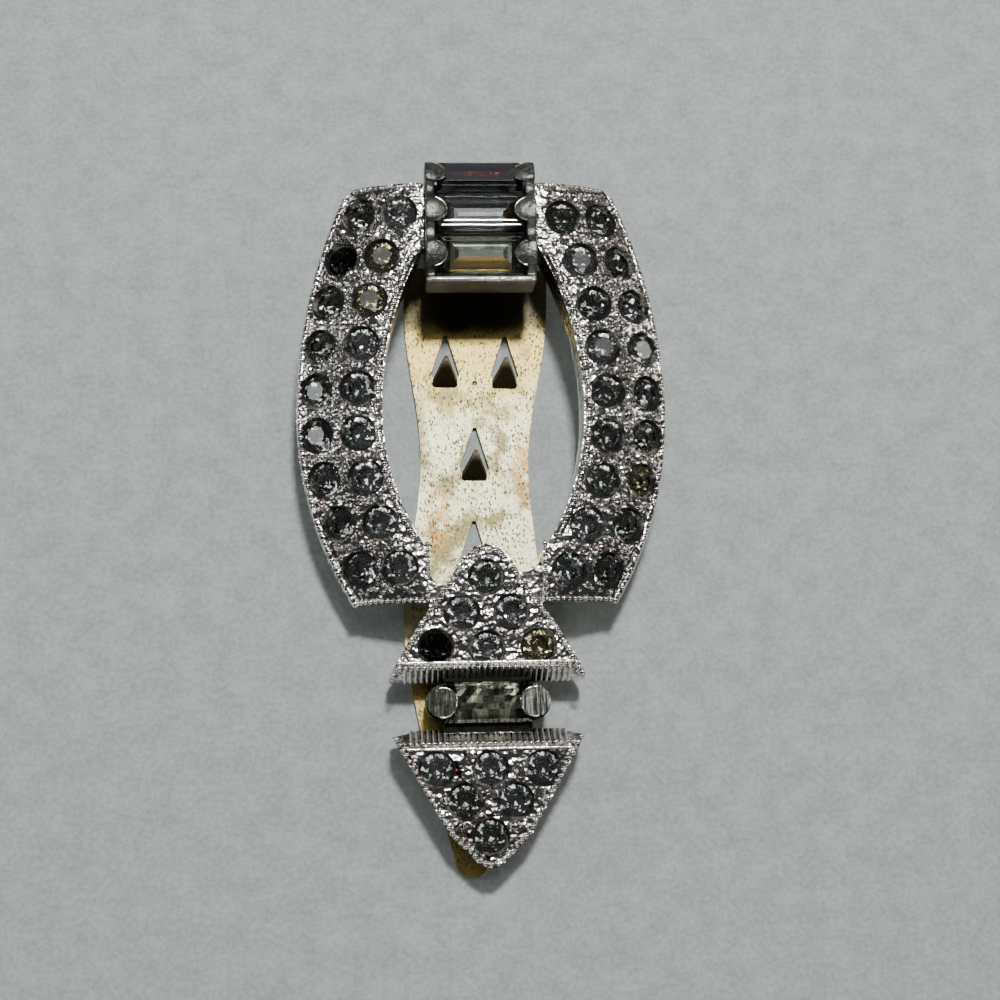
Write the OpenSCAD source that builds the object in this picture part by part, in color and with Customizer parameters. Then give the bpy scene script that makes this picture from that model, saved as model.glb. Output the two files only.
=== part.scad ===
// Dress clip: a cast buckle ornament with two stone-set arrowheads on a hinged, toothed leaf.
// Millimetres. +X right, +Y toward the hinge, +Z up. The leaf's underside is z = 0.
// The ornament is drawn flat, with its back at 0, and then tipped down toward its point.

/* [Buckle frame] */
// width across the arms at their widest
frame_w = 26.7; // [26.4:0.1:27.2]
// how far up the frame the arms are widest
widest_at = 7.5; // [7:0.1:8]
// top edge of the frame
frame_top = 24; // [23.9:0.1:24.4]
// lower edge of the arms
frame_foot = -6.3; // [-6.5:0.1:-6.1]
// half width of the frame across its top edge
top_half = 9.64; // [9.6:0.02:9.7]
// half width of the frame across its foot
foot_half = 9.47; // [9.4:0.02:9.5]
// width of an arm where the frame is widest
arm_w = 6.15; // [6.1:0.05:6.2]
// height of the domed arms at their crest
crest_h = 3.6; // [3.4:0.1:3.8]
// distance of the crest in from the outer edge
crest_in = 5.5; // [5.2:0.1:5.8]
// radius of the dome across an arm
dome_r = 8; // [7.6:0.1:9]
// radius of the beaded wire along the edges
bead_r = 0.28; // [0.2:0.02:0.32]
// slanted corner at each end of the top edge
corner_cut = 0.9; // [0.6:0.1:1.2]

/* [Opening] */
// width of the opening at the bar
opening_top_w = 8; // [7.9:0.1:8.1]
// upper end of the opening, at the bar
bar_front = 19.6; // [19.4:0.1:19.8]
// height of the bar
bar_h = 2.2; // [2:0.1:2.4]
// gap between the end walls of the arms
end_wall_gap = 8; // [7.8:0.1:8.2]
// upper end of the end walls
end_wall_top = -2.75; // [-2.85:0.05:-2.65]
// height of the webs that join the arms to the arrowhead
web_h = 1.5; // [1.3:0.1:1.8]
// lowest point of the left web's hollow edge
web_edge = -4.9; // [-5:0.1:-4.6]
// how much higher the right web's edge lies
web_lift = 0.9; // [0:0.1:1]
// radius of that hollow edge
web_r = 1.2; // [1:0.1:1.4]

/* [Arrowheads] */
// half width of the upper arrowhead at its base
upper_half = 6.95; // [6.8:0.05:7.1]
// peak of the upper arrowhead
upper_peak = -2.15; // [-2.2:0.05:-2]
// base of the upper arrowhead
upper_base = -11.75; // [-11.8:0.05:-11.65]
// half width of the lower arrowhead at its base
lower_half = 6.75; // [6.6:0.05:6.9]
// base of the lower arrowhead
lower_base = -15.15; // [-15.2:0.05:-15.05]
// point of the lower arrowhead
lower_point = -24.65; // [-24.8:0.05:-24.6]
// height of the arrowheads
arrow_h = 3; // [2.9:0.1:3.2]
// share of the outline left inside the raised rim
rim_share = 0.9; // [0.86:0.01:0.93]
// height of the rim above the field
rim_rise = 0.18; // [0.1:0.02:0.25]
// how far the ribbed base walls slope in
base_slope = 1.1; // [0.9:0.1:1.2]

/* [Round stones] */
// diameter of a round stone
stone_d = 2.44; // [2.3:0.02:2.48]
// diameter of a round seat
seat_d = 2.66; // [2.6:0.02:2.7]
// depth of a round seat below the field
seat_deep = 1.5; // [1.46:0.02:1.54]
// depth of a stone's girdle below the field
girdle_deep = 0.36; // [0.3:0.02:0.4]
// rows of stones on an arm
arm_rows = 9; // [9:1:9]
// distance between rows
row_pitch = 3.2; // [3.18:0.01:3.22]
// top row of the left arm
row_top = 21.8; // [21.7:0.05:21.9]
// how much lower the rows of the right arm sit
right_drop = 0.35; // [0:0.05:0.4]
// distance of the outer stones in from the edge, halfway down
outer_in = 1.4; // [1.35:0.05:1.5]
// how much farther in the outer stones sit at the ends
outer_draw = 0.35; // [0:0.05:0.35]
// distance of the inner stones in from the edge
inner_in = 4.4; // [4.35:0.05:4.45]
// how much farther out the last inner stone sits
last_out = 0.2; // [0:0.05:0.2]
// radius of the cast grains between the stones
grain_r = 0.42; // [0.3:0.02:0.42]
// height of a grain's centre over the field
grain_up = -0.15; // [-0.2:0.05:0]

/* [Step-cut stones] */
// length of a step-cut stone
baguette_l = 6.2; // [6:0.05:6.25]
// width of a step-cut stone
baguette_w = 2.86; // [2.7:0.02:2.88]
// height of the crown
crown_h = 0.55; // [0.5:0.05:0.6]
// thickness of the girdle
girdle_t = 0.12; // [0.1:0.01:0.15]
// depth below the girdle
pavilion_h = 0.85; // [0.7:0.05:0.9]
// radius of the round tabs over the ends
tab_r = 0.95; // [0.9:0.05:1]
// thickness of the tabs
tab_t = 0.36; // [0.3:0.02:0.4]

/* [Top setting] */
// half width of the setting
setting_half = 3.95; // [3.9:0.01:3.97]
// thickness of its walls
setting_wall = 0.72; // [0.6:0.02:0.74]
// thickness of its front wall
front_wall = 0.5; // [0.4:0.02:0.52]
// front face of the setting
setting_front = 16.5; // [16.4:0.05:16.55]
// back face of the setting
setting_back = 25.7; // [25.6:0.1:25.8]
// lowest edge of the setting's front wall
setting_low = 0.8; // [0.6:0.1:1]
// crest of the curve that the three tables follow
table_crest = 5; // [4.9:0.1:5.1]
// where along the frame the curve crests
table_mid = 20.4; // [20.2:0.1:20.6]
// radius of that curve
table_r = 9.2; // [9.1:0.1:9.4]
// angle from one stone to the next
stone_step = 20; // [19.8:0.1:20.4]
// lean of the middle stone toward the back
middle_lean = 8; // [7:0.5:8.5]

/* [Lower cup] */
// centre of the cup between the arrowheads
cup_at = -13.25; // [-13.3:0.05:-13.2]
// height of the cup
cup_h = 2.6; // [2.5:0.1:2.7]
// radius of its round ends
cup_end_r = 1.3; // [1.2:0.05:1.35]
// distance of the round ends from the middle
cup_end_at = 3.1; // [3.05:0.05:3.15]

/* [Leaf] */
// thickness of the sheet
sheet = 0.5; // [0.45:0.01:0.52]
// half width at the hinge
leaf_hinge_half = 5.4; // [5.2:0.1:5.6]
// half width at the waist
leaf_waist_half = 3.98; // [3.85:0.01:4.2]
// half width at the belly
leaf_belly_half = 5.1; // [4.9:0.1:5.4]
// half width where the point begins to round
leaf_point_half = 1.2; // [1.1:0.05:1.4]
// where the leaf starts to narrow
leaf_shoulder = 16.8; // [16.5:0.1:17.2]
// where the waist is
leaf_waist = 4.8; // [4.5:0.1:5.2]
// where the belly is
leaf_belly = -7.6; // [-8:0.1:-7.2]
// centre of the round point
leaf_point = -24.2; // [-24.4:0.1:-24]
// turn of the leaf against the ornament
leaf_skew = -1.5; // [-1.8:0.1:-0.8]
// sideways offset of the leaf at the hinge
leaf_offset = 0.05; // [0:0.05:0.15]

/* [Teeth] */
// width of a punched hole
hole_w = 2.15; // [2:0.05:2.25]
// length of a punched hole
hole_l = 3.9; // [3.8:0.05:4]
// width of the hole's straight lower end
hole_foot_w = 1.3; // [1.1:0.05:1.4]
// height of the hole's shoulders over its lower end
hole_shoulder = 0.75; // [0.6:0.05:0.9]
// share of the hole that a bent tooth has
tooth_share = 0.86; // [0.82:0.01:0.88]
// angle to which the teeth are bent
tooth_bend = 62; // [60:1:64]
// lower end of the upper pair of holes
tooth_top = 10.75; // [10.65:0.05:10.85]
// distance between rows of holes
tooth_pitch = 7.1; // [7.05:0.05:7.15]
// distance between the holes of the pair
tooth_gap = 4.46; // [4.4:0.02:4.6]
// radius of the small punch mark between the pair
punch_r = 0.2; // [0.15:0.05:0.25]
// radius of the hollow behind the arrowhead's peak, over the last tooth
relief_r = 1.7; // [1.6:0.1:1.8]
// sideways place of that hollow
relief_x = -0.6; // [-0.7:0.05:-0.5]
// depth of that hollow
relief_deep = 1.15; // [1.1:0.05:1.2]

/* [Hinge] */
// radius of the hinge pin
pin_r = 0.7; // [0.65:0.01:0.72]
// running clearance of the leaf's barrel on the pin
pin_clear = 0.06; // [0.04:0.01:0.08]
// clearance of the pin in the ears
ear_clear = 0.03; // [0.02:0.01:0.05]
// where the pin lies along the clip
pin_y = 21.5; // [21.4:0.1:21.6]
// half length of the leaf's barrel
barrel_half = 3; // [2.9:0.1:3.1]
// inner face of an ear
ear_in = 3.2; // [3.15:0.05:3.3]
// length of the bracket's plate along the clip
bracket_l = 4.2; // [4.1:0.1:4.3]
// thickness of an ear and of the bracket's plate
plate = 0.7; // [0.6:0.05:0.75]
// radius of the ears' round ends
ear_r = 1.2; // [1.1:0.05:1.22]
// radius of the cast pegs that hold the bracket
peg_r = 0.55; // [0.5:0.05:0.6]
// radius of the spread heads of those pegs
peg_head_r = 0.9; // [0.8:0.05:0.95]

/* [Fit] */
// slope of the ornament down toward its point
pitch = 4.5; // [4.3:0.1:4.8]
// height of the ornament's back over the leaf's underside at the middle
back_z = 2.9; // [2.85:0.05:3]
// gap between pieces that touch
gap = 0.06; // [0.05:0.01:0.08]

/* [Hidden] */
$fn = 64;
big = 60;
frame_half = frame_w / 2;
opening_w = frame_w - 2 * arm_w;
// radius of an arc that bows out by the given depth over the given half chord
function bow(depth, chord) = (depth * depth + chord * chord) / (2 * depth);
arc_upper = bow(frame_half - top_half, frame_top - widest_at);
arc_lower = bow(frame_half - foot_half, widest_at - frame_foot);
opening_arc_upper = bow((opening_w - opening_top_w) / 2, bar_front - widest_at);
opening_arc_lower = bow((opening_w - end_wall_gap) / 2, widest_at - end_wall_top);
row_last = arm_rows - 1;
arm_depth = 7;
bead_in = bead_r + 0.06;
slot_half = setting_half + gap + 0.04;
barrel_r = pin_r + pin_clear + sheet;
pin_z = barrel_r;
// the pin's place in the ornament's own frame
pin_v = pin_y * cos(pitch) + (pin_z - back_z) * sin(pitch);
pin_w = (pin_z - back_z) * cos(pitch) - pin_y * sin(pitch);
plate_top = -gap;
plate_low = plate_top - plate;
peg_spots = [[-2.1, -1.2], [2.1, -1.2], [-2.1, 1.2], [2.1, 1.2]];
// outlines as shares of the half width and of the length from base to tip
upper_shape = [[1, 0], [1, 0.035], [0.69, 0.42], [0.38, 0.73], [0.25, 0.89], [0.13, 0.975], [0, 1]];
lower_shape = [[0.72, 0], [1, 0.045], [0.42, 0.76], [0.15, 0.955], [0.06, 1]];
// stones as shares of the half width and of the length from base to tip
upper_stones = [[0, 0.76], [-0.252, 0.5], [0.252, 0.5], [-0.52, 0.25], [0, 0.235], [0.52, 0.25]];
lower_stones = [[-0.545, 0.285], [0.01, 0.285], [0.555, 0.285], [-0.26, 0.52], [0.26, 0.52], [0, 0.775]];
upper_grains = [[0.26, 0.69], [0, 0.56], [-0.26, 0.3], [0.26, 0.3]];
lower_grains = [[-0.285, 0.3], [0.285, 0.3], [0, 0.48], [-0.27, 0.72], [0.27, 0.72]];

// Everything that belongs to the ornament is drawn flat and tipped here.
module on_ornament() {
  translate([0, 0, back_z])
    rotate([pitch, 0, 0])
      children();
}

// A place on an arm: side -1 or 1, height along the frame, distance in from the outer edge.
module on_arm(side, v, inset) {
  bend = v >= widest_at ? arc_upper : arc_lower;
  turn = asin((v - widest_at) / (bend - inset));
  lean = asin((crest_in - inset) / dome_r);
  mirror([side < 0 ? 1 : 0, 0, 0])
    translate([frame_half - bend, widest_at, 0])
      rotate([0, 0, turn])
        translate([bend - inset, 0, crest_h - dome_r * (1 - cos(lean))])
          rotate([0, lean, 0])
            children();
}

function row_v(side, row) = row_top - row * row_pitch - (side > 0 ? right_drop : 0);
function column_in(column, row) =
  column == 0 ? outer_in + outer_draw * pow(2 * row / row_last - 1, 2) :
  row == row_last ? inner_in - last_out : inner_in;
function spot(shares, half, base, tip) = [shares[0] * half, base + shares[1] * (tip - base)];

// How far an arc of radius r turns to rise by h, and a little more, in whole degrees.
function turn_over(h, r) = h < r ? ceil(asin(h / r) + 0.6) : 90;

// One arm's bent, domed bar with its beaded outer wire, on one side of the widest point.
module arm_arc(bend, sweep) {
  translate([frame_half - bend, widest_at, 0])
    rotate([0, 0, min(sweep, 0)])
      rotate_extrude(angle = abs(sweep), $fn = 128) {
        intersection() {
          translate([bend - arm_depth, 0])
            square([arm_depth, crest_h]);
          translate([bend - crest_in, crest_h - dome_r])
            circle(dome_r);
        }
        translate([bend - bead_in, crest_h - dome_r * (1 - cos(asin((crest_in - bead_in) / dome_r)))])
          circle(bead_r);
      }
}

// The beaded wire along one side of the opening, on one side of its widest point.
module opening_wire(bend, sweep) {
  translate([opening_w / 2 - bend, widest_at, 0])
    rotate([0, 0, min(sweep, 0)])
      rotate_extrude(angle = abs(sweep), $fn = 128)
        translate([bend + bead_in, crest_h - bead_r * 0.4])
          circle(bead_r);
}

module lens(bend) {
  intersection() {
    translate([opening_w / 2 - bend, widest_at])
      circle(bend, $fn = 128);
    translate([bend - opening_w / 2, widest_at])
      circle(bend, $fn = 128);
  }
}

module opening_outline() {
  intersection() {
    lens(opening_arc_upper);
    translate([-big / 2, widest_at])
      square([big, bar_front - widest_at]);
  }
  intersection() {
    lens(opening_arc_lower);
    translate([-big / 2, web_edge + web_lift + web_r])
      square([big, widest_at - web_edge - web_lift - web_r]);
  }
  for (side = [0, 1])
    mirror([1 - side, 0])
      translate([0, web_edge + side * web_lift]) {
        translate([end_wall_gap / 2 - web_r, web_r])
          circle(web_r);
        square([end_wall_gap / 2 - web_r, web_r + 2]);
        translate([0, web_r])
          square([end_wall_gap / 2, 2]);
      }
}

// An outline from its table of shares, mirrored about the middle.
module outline(shape, half, base, tip) {
  right = [for (s = shape) spot(s, half, base, tip)];
  left = [for (i = [len(shape) - 1:-1:0]) [-right[i][0], right[i][1]]];
  polygon(concat(right, left));
}

// An arrowhead with a raised rim, whose base wall slopes in.
module arrowhead(shape, half, base, tip) {
  mid = base + (tip - base) * 0.36;
  away = tip > base ? 1 : -1;
  difference() {
    linear_extrude(arrow_h)
      outline(shape, half, base, tip);
    translate([0, mid, arrow_h - rim_rise])
      linear_extrude(rim_rise + 1)
        scale(rim_share)
          translate([0, -mid])
            outline(shape, half, base, tip);
    translate([-big / 2, base, arrow_h * 0.4])
      rotate([away * atan(base_slope / (arrow_h * 0.6)) * -1, 0, 0])
        translate([0, away > 0 ? -5 : 0, -0.001])
          cube([big, 5, 6]);
  }
}

// A round cast grain, with its poles level.
module grain() {
  translate([0, 0, grain_up])
    rotate([0, 90, 90])
      sphere(grain_r);
}

module seat() {
  translate([0, 0, -seat_deep])
    cylinder(h = seat_deep + 3, d = seat_d);
}

// A round cut stone: table, eight bezels with sixteen halves, a girdle and a pointed pavilion.
module chaton() {
  table_r8 = stone_d * 0.3;
  low = girdle_deep + girdle_t;
  points = concat(
    [for (i = [0:7]) [table_r8 * cos(45 * i), table_r8 * sin(45 * i), 0.06]],
    [for (i = [0:15]) [stone_d / 2 * cos(22.5 * i), stone_d / 2 * sin(22.5 * i), -girdle_deep]],
    [for (i = [0:15]) [stone_d / 2 * cos(22.5 * i), stone_d / 2 * sin(22.5 * i), -low]],
    [[0, 0, -seat_deep + gap * 2]]
  );
  faces = concat(
    [[for (i = [7:-1:0]) i]],
    [for (i = [0:7]) [i, (i + 1) % 8, 8 + 2 * i + 1]],
    [for (i = [0:7]) [i, 8 + 2 * i + 1, 8 + 2 * i]],
    [for (i = [0:7]) [i, 8 + 2 * i, 8 + (2 * i + 15) % 16]],
    [for (i = [0:15]) [8 + i, 8 + (i + 1) % 16, 24 + (i + 1) % 16, 24 + i]],
    [for (i = [0:15]) [24 + i, 24 + (i + 1) % 16, 40]]
  );
  polyhedron(points, faces);
}

// A step-cut stone with its table at 0: two steps above the girdle and two below it.
module baguette() {
  rings = [
    [0, 0.9, 0.78],
    [-0.36 * crown_h, 0.45, 0.42],
    [-crown_h, 0, 0],
    [-crown_h - girdle_t, 0, 0],
    [-crown_h - girdle_t - pavilion_h * 0.55, 0.6, 0.5],
    [-crown_h - girdle_t - pavilion_h, 1.5, 1.2]
  ];
  points = [
    for (r = rings, c = [[1, 1], [-1, 1], [-1, -1], [1, -1]])
      [c[0] * (baguette_l / 2 - r[1]), c[1] * (baguette_w / 2 - r[2]), r[0]]
  ];
  faces = concat(
    [[3, 2, 1, 0]],
    [for (k = [0:4], i = [0:3])
      [4 * k + i, 4 * k + (i + 1) % 4, 4 * k + 4 + (i + 1) % 4, 4 * k + 4 + i]],
    [[20, 21, 22, 23]]
  );
  polyhedron(points, faces);
}

module arrow_seats(stones, half, base, tip) {
  for (s = stones)
    translate([spot(s, half, base, tip)[0], spot(s, half, base, tip)[1], arrow_h - rim_rise])
      seat();
}

module arrow_stone(stones, half, base, tip, i) {
  color("lightsteelblue")
    on_ornament()
      translate([spot(stones[i], half, base, tip)[0], spot(stones[i], half, base, tip)[1], arrow_h - rim_rise])
        chaton();
}

module arm_stones(side) {
  color("slategray")
    on_ornament()
      for (row = [0:row_last])
        for (column = [0:1])
          on_arm(side, row_v(side, row), column_in(column, row))
            chaton();
}

// The cup that holds the lower step-cut stone between the arrowheads.
module cup() {
  difference() {
    union() {
      translate([-cup_end_at, upper_base - gap * 4 - (upper_base - lower_base), 0])
        cube([2 * cup_end_at, upper_base - lower_base + gap * 8, cup_h - 0.5]);
      for (side = [-1, 1]) {
        translate([side * cup_end_at, cup_at, 0])
          cylinder(h = cup_h, r = cup_end_r);
        translate([side * (cup_end_at + 0.15), cup_at, 0])
          cylinder(h = cup_h + crown_h + gap + tab_t, r = cup_end_r - 0.25);
      }
    }
    translate([-baguette_l / 2 - gap, cup_at - baguette_w / 2 - gap, cup_h - pavilion_h - 0.3])
      cube([baguette_l + 2 * gap, baguette_w + 2 * gap, pavilion_h + 0.3 + crown_h + gap]);
  }
}

module casting() {
  color("silver")
    on_ornament() {
      difference() {
        union() {
          intersection() {
            union() {
              for (side = [0, 1])
                mirror([side, 0, 0]) {
                  arm_arc(arc_upper, turn_over(frame_top - widest_at, arc_upper - arm_depth));
                  arm_arc(arc_lower, -turn_over(widest_at - frame_foot, arc_lower - arm_depth));
                }
            }
            difference() {
              translate([-big / 2, frame_foot, 0])
                cube([big, frame_top - frame_foot, big]);
              translate([-end_wall_gap / 2, frame_foot - 1, -1])
                cube([end_wall_gap, widest_at - frame_foot, big]);
            }
          }
          translate([-opening_w / 2, bar_front - 1, 0])
            cube([opening_w, frame_top - bar_front + 1, bar_h]);
          translate([-end_wall_gap / 2 - 0.8, frame_foot - 0.1, 0])
            cube([end_wall_gap + 1.6, end_wall_top - frame_foot + 0.4, web_h]);
        }
        translate([0, 0, -1])
          linear_extrude(big)
            opening_outline();
        translate([-slot_half, setting_front, bar_h])
          cube([2 * slot_half, 12, 6]);
        for (side = [-1, 1])
          mirror([side < 0 ? 1 : 0, 0, 0])
            translate([top_half, frame_top, -1])
              rotate([0, 0, 40])
                translate([-corner_cut / 2, -big / 2, 0])
                  cube(big);
        for (side = [-1, 1], row = [0:row_last], column = [0:1])
          on_arm(side, row_v(side, row), column_in(column, row))
            seat();
      }
      for (side = [-1, 1], row = [0:row_last - 1])
        on_arm(side, row_v(side, row) - row_pitch / 2, (outer_in + inner_in) / 2)
          grain();
      intersection() {
        union() {
          for (side = [0, 1])
            mirror([side, 0, 0]) {
              opening_wire(opening_arc_upper, turn_over(bar_front - widest_at, opening_arc_upper));
              opening_wire(opening_arc_lower, -turn_over(widest_at - end_wall_top, opening_arc_lower));
            }
        }
        translate([-big / 2, web_edge + web_r + 2, 0])
          cube([big, bar_front - web_edge - web_r - 3, big]);
      }
      difference() {
        union() {
          arrowhead(upper_shape, upper_half, upper_base, upper_peak);
          arrowhead(lower_shape, lower_half, lower_base, lower_point);
        }
        arrow_seats(upper_stones, upper_half, upper_base, upper_peak);
        arrow_seats(lower_stones, lower_half, lower_base, lower_point);
        translate([relief_x, upper_peak - 0.9, -1])
          cylinder(h = relief_deep + 1, r = relief_r);
      }
      for (s = upper_grains)
        translate([spot(s, upper_half, upper_base, upper_peak)[0],
                   spot(s, upper_half, upper_base, upper_peak)[1],
                   arrow_h - rim_rise])
          grain();
      for (s = lower_grains)
        translate([spot(s, lower_half, lower_base, lower_point)[0],
                   spot(s, lower_half, lower_base, lower_point)[1],
                   arrow_h - rim_rise])
          grain();
      cup();
      for (p = peg_spots)
        translate([p[0], pin_v + p[1], 0]) {
          translate([0, 0, plate_low - gap - 0.01])
            cylinder(h = -plate_low + gap + 0.5, r = peg_r);
          translate([0, 0, plate_low - gap - 0.35])
            cylinder(h = 0.35, r = peg_head_r);
        }
    }
}

// The curved channel over the bar, with a round tab over each end of its three stones.
module top_setting() {
  inner = setting_half - setting_wall;
  floor_r = table_r - crown_h - girdle_t - pavilion_h - gap;
  color("dimgray")
    on_ornament()
      difference() {
        union() {
          intersection() {
            translate([0, table_mid, table_crest - table_r])
              rotate([0, 90, 0])
                cylinder(h = 2 * setting_half, r = table_r + gap, center = true, $fn = 128);
            translate([-setting_half, setting_front, setting_low])
              cube([2 * setting_half, setting_back - setting_front, 9]);
          }
          intersection() {
            for (k = [-1:1], side = [-1, 1])
              translate([0, table_mid, table_crest - table_r])
                rotate([-(middle_lean + k * stone_step), 0, 0])
                  translate([side * (inner + 0.25), 0, table_r + gap / 2])
                    cylinder(h = tab_t + gap / 2, r = tab_r);
            translate([-setting_half, setting_front - 2, 0])
              cube([2 * setting_half, 14, 9]);
          }
        }
        difference() {
          translate([-inner, setting_front + front_wall, 0])
            cube([2 * inner, setting_back - setting_front, 9]);
          translate([0, table_mid, table_crest - table_r])
            rotate([0, 90, 0])
              cylinder(h = big, r = floor_r, center = true, $fn = 128);
          translate([0, table_mid, table_crest - table_r])
            rotate([0, 90, 0])
              difference() {
                cylinder(h = big, r = table_r + 3, center = true, $fn = 128);
                cylinder(h = big + 1, r = table_r + gap, center = true, $fn = 128);
              }
        }
        translate([-big / 2, bar_front - gap * 2, -1])
          cube([big, frame_top - bar_front + gap * 4, bar_h + gap + 1]);
      }
}

module baguette_top(k) {
  color("gainsboro")
    on_ornament()
      translate([0, table_mid, table_crest - table_r])
        rotate([-(middle_lean + k * stone_step), 0, 0])
          translate([0, 0, table_r])
            baguette();
}

module baguette_top_1() {
  baguette_top(1);
}

module baguette_top_2() {
  baguette_top(0);
}

module baguette_top_3() {
  baguette_top(-1);
}

module baguette_lower() {
  color("darkslategray")
    on_ornament()
      translate([0, cup_at, cup_h + crown_h])
        baguette();
}

module upper_stone_1() {
  arrow_stone(upper_stones, upper_half, upper_base, upper_peak, 0);
}

module upper_stone_2() {
  arrow_stone(upper_stones, upper_half, upper_base, upper_peak, 1);
}

module upper_stone_3() {
  arrow_stone(upper_stones, upper_half, upper_base, upper_peak, 2);
}

module upper_stone_4() {
  arrow_stone(upper_stones, upper_half, upper_base, upper_peak, 3);
}

module upper_stone_5() {
  arrow_stone(upper_stones, upper_half, upper_base, upper_peak, 4);
}

module upper_stone_6() {
  arrow_stone(upper_stones, upper_half, upper_base, upper_peak, 5);
}

module lower_stone_1() {
  arrow_stone(lower_stones, lower_half, lower_base, lower_point, 0);
}

module lower_stone_2() {
  arrow_stone(lower_stones, lower_half, lower_base, lower_point, 1);
}

module lower_stone_3() {
  arrow_stone(lower_stones, lower_half, lower_base, lower_point, 2);
}

module lower_stone_4() {
  arrow_stone(lower_stones, lower_half, lower_base, lower_point, 3);
}

module lower_stone_5() {
  arrow_stone(lower_stones, lower_half, lower_base, lower_point, 4);
}

module lower_stone_6() {
  arrow_stone(lower_stones, lower_half, lower_base, lower_point, 5);
}

module left_arm_stones() {
  arm_stones(-1);
}

module right_arm_stones() {
  arm_stones(1);
}

// The plate under the bar, with an ear at each end for the pin.
module hinge_bracket() {
  plate_front = pin_v - bracket_l / 2;
  color("goldenrod")
    on_ornament()
      difference() {
        union() {
          translate([-ear_in - plate, plate_front, plate_low])
            cube([2 * (ear_in + plate), bracket_l, plate]);
          for (side = [-1, 1])
            translate([side > 0 ? ear_in : -ear_in - plate, 0, 0]) {
              translate([0, pin_v - ear_r, pin_w])
                cube([plate, 2 * ear_r, plate_top - pin_w]);
              translate([0, pin_v, pin_w])
                rotate([0, 90, 0])
                  cylinder(h = plate, r = ear_r);
            }
        }
        translate([0, pin_v, pin_w])
          rotate([0, 90, 0])
            cylinder(h = big, r = pin_r + ear_clear, center = true);
        for (p = peg_spots)
          translate([p[0], pin_v + p[1], plate_low - 1])
            cylinder(h = plate + 2, r = peg_r + gap);
      }
}

module hinge_pin() {
  color("darkgoldenrod")
    translate([0, pin_y, pin_z])
      rotate([0, 90, 0]) {
        cylinder(h = 2 * (ear_in + plate + gap), r = pin_r, center = true);
        for (side = [-1, 1])
          translate([0, 0, side * (ear_in + plate + gap + 0.15)])
            cylinder(h = 0.3, r = pin_r + 0.3, center = true);
      }
}

function ease(t) = t * t * (3 - 2 * t);
function between(y, y0, y1, a, b) = a + (b - a) * ease((y - y0) / (y1 - y0));
function leaf_half(y) =
  y > leaf_shoulder ? leaf_hinge_half :
  y > leaf_waist ? between(y, leaf_shoulder, leaf_waist, leaf_hinge_half, leaf_waist_half) :
  y > leaf_belly ? between(y, leaf_waist, leaf_belly, leaf_waist_half, leaf_belly_half) :
  leaf_belly_half - (leaf_belly_half - leaf_point_half) * pow((leaf_belly - y) / (leaf_belly - leaf_point), 1.35);

// A punched hole, or the tooth from it: pointed at the top, its lower corners cut off.
module tooth_outline(share) {
  polygon([
    [-hole_foot_w / 2 * share, 0],
    [hole_foot_w / 2 * share, 0],
    [hole_w / 2 * share, hole_shoulder * share],
    [0.12, hole_l * share - 0.12],
    [-0.12, hole_l * share - 0.12],
    [-hole_w / 2 * share, hole_shoulder * share]
  ]);
}

module leaf() {
  leaf_top = pin_y - ear_r - 0.5;
  stations = [for (y = [leaf_top, leaf_shoulder, for (i = [1:21]) leaf_shoulder - i * (leaf_shoulder - leaf_point) / 21]) y];
  edge = [for (y = stations) [leaf_half(y), y]];
  spots = [[-tooth_gap / 2, tooth_top], [tooth_gap / 2, tooth_top], [0, tooth_top - tooth_pitch],
           [0, tooth_top - 2 * tooth_pitch]];
  color("palegoldenrod")
    difference() {
      union() {
        translate([leaf_offset, pin_y, 0])
          rotate([0, 0, leaf_skew])
            translate([0, -pin_y, 0]) {
              difference() {
                linear_extrude(sheet) {
                  polygon(concat(edge, [for (i = [len(edge) - 1:-1:0]) [-edge[i][0], edge[i][1]]]));
                  translate([0, leaf_point])
                    circle(leaf_point_half);
                }
                for (s = spots)
                  translate([s[0], s[1], -1])
                    linear_extrude(sheet + 2)
                      tooth_outline(1);
                translate([0, tooth_top + 0.1, sheet])
                  sphere(punch_r);
              }
              for (s = spots)
                translate([s[0], s[1] - 0.02, 0])
                  rotate([tooth_bend, 0, 0])
                    linear_extrude(sheet * 0.94)
                      tooth_outline(tooth_share);
            }
        translate([-barrel_half, leaf_top - 1.2, 0])
          cube([2 * barrel_half, pin_y - leaf_top + 1.2, sheet]);
        translate([0, pin_y, pin_z])
          rotate([0, 90, 0])
            cylinder(h = 2 * barrel_half, r = barrel_r, center = true);
      }
      translate([0, pin_y, pin_z])
        rotate([0, 90, 0])
          cylinder(h = big, r = pin_r + pin_clear, center = true);
    }
}

casting();
top_setting();
baguette_top_1();
baguette_top_2();
baguette_top_3();
baguette_lower();
upper_stone_1();
upper_stone_2();
upper_stone_3();
upper_stone_4();
upper_stone_5();
upper_stone_6();
lower_stone_1();
lower_stone_2();
lower_stone_3();
lower_stone_4();
lower_stone_5();
lower_stone_6();
left_arm_stones();
right_arm_stones();
hinge_bracket();
hinge_pin();
leaf();
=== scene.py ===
# %% [markdown]
# A dress clip, dressed in Blender.
# The solids come from CAD and are already in place. This lesson gives them their finish: beaded edges,
# cast grains, cut stones with foil behind them, a worn brass leaf, and soft studio light.
# Each step says what the thing is on the real clip, how it could be made, and why it is made this way.

import math
import random

import bpy
from mathutils import Matrix, Vector


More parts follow.
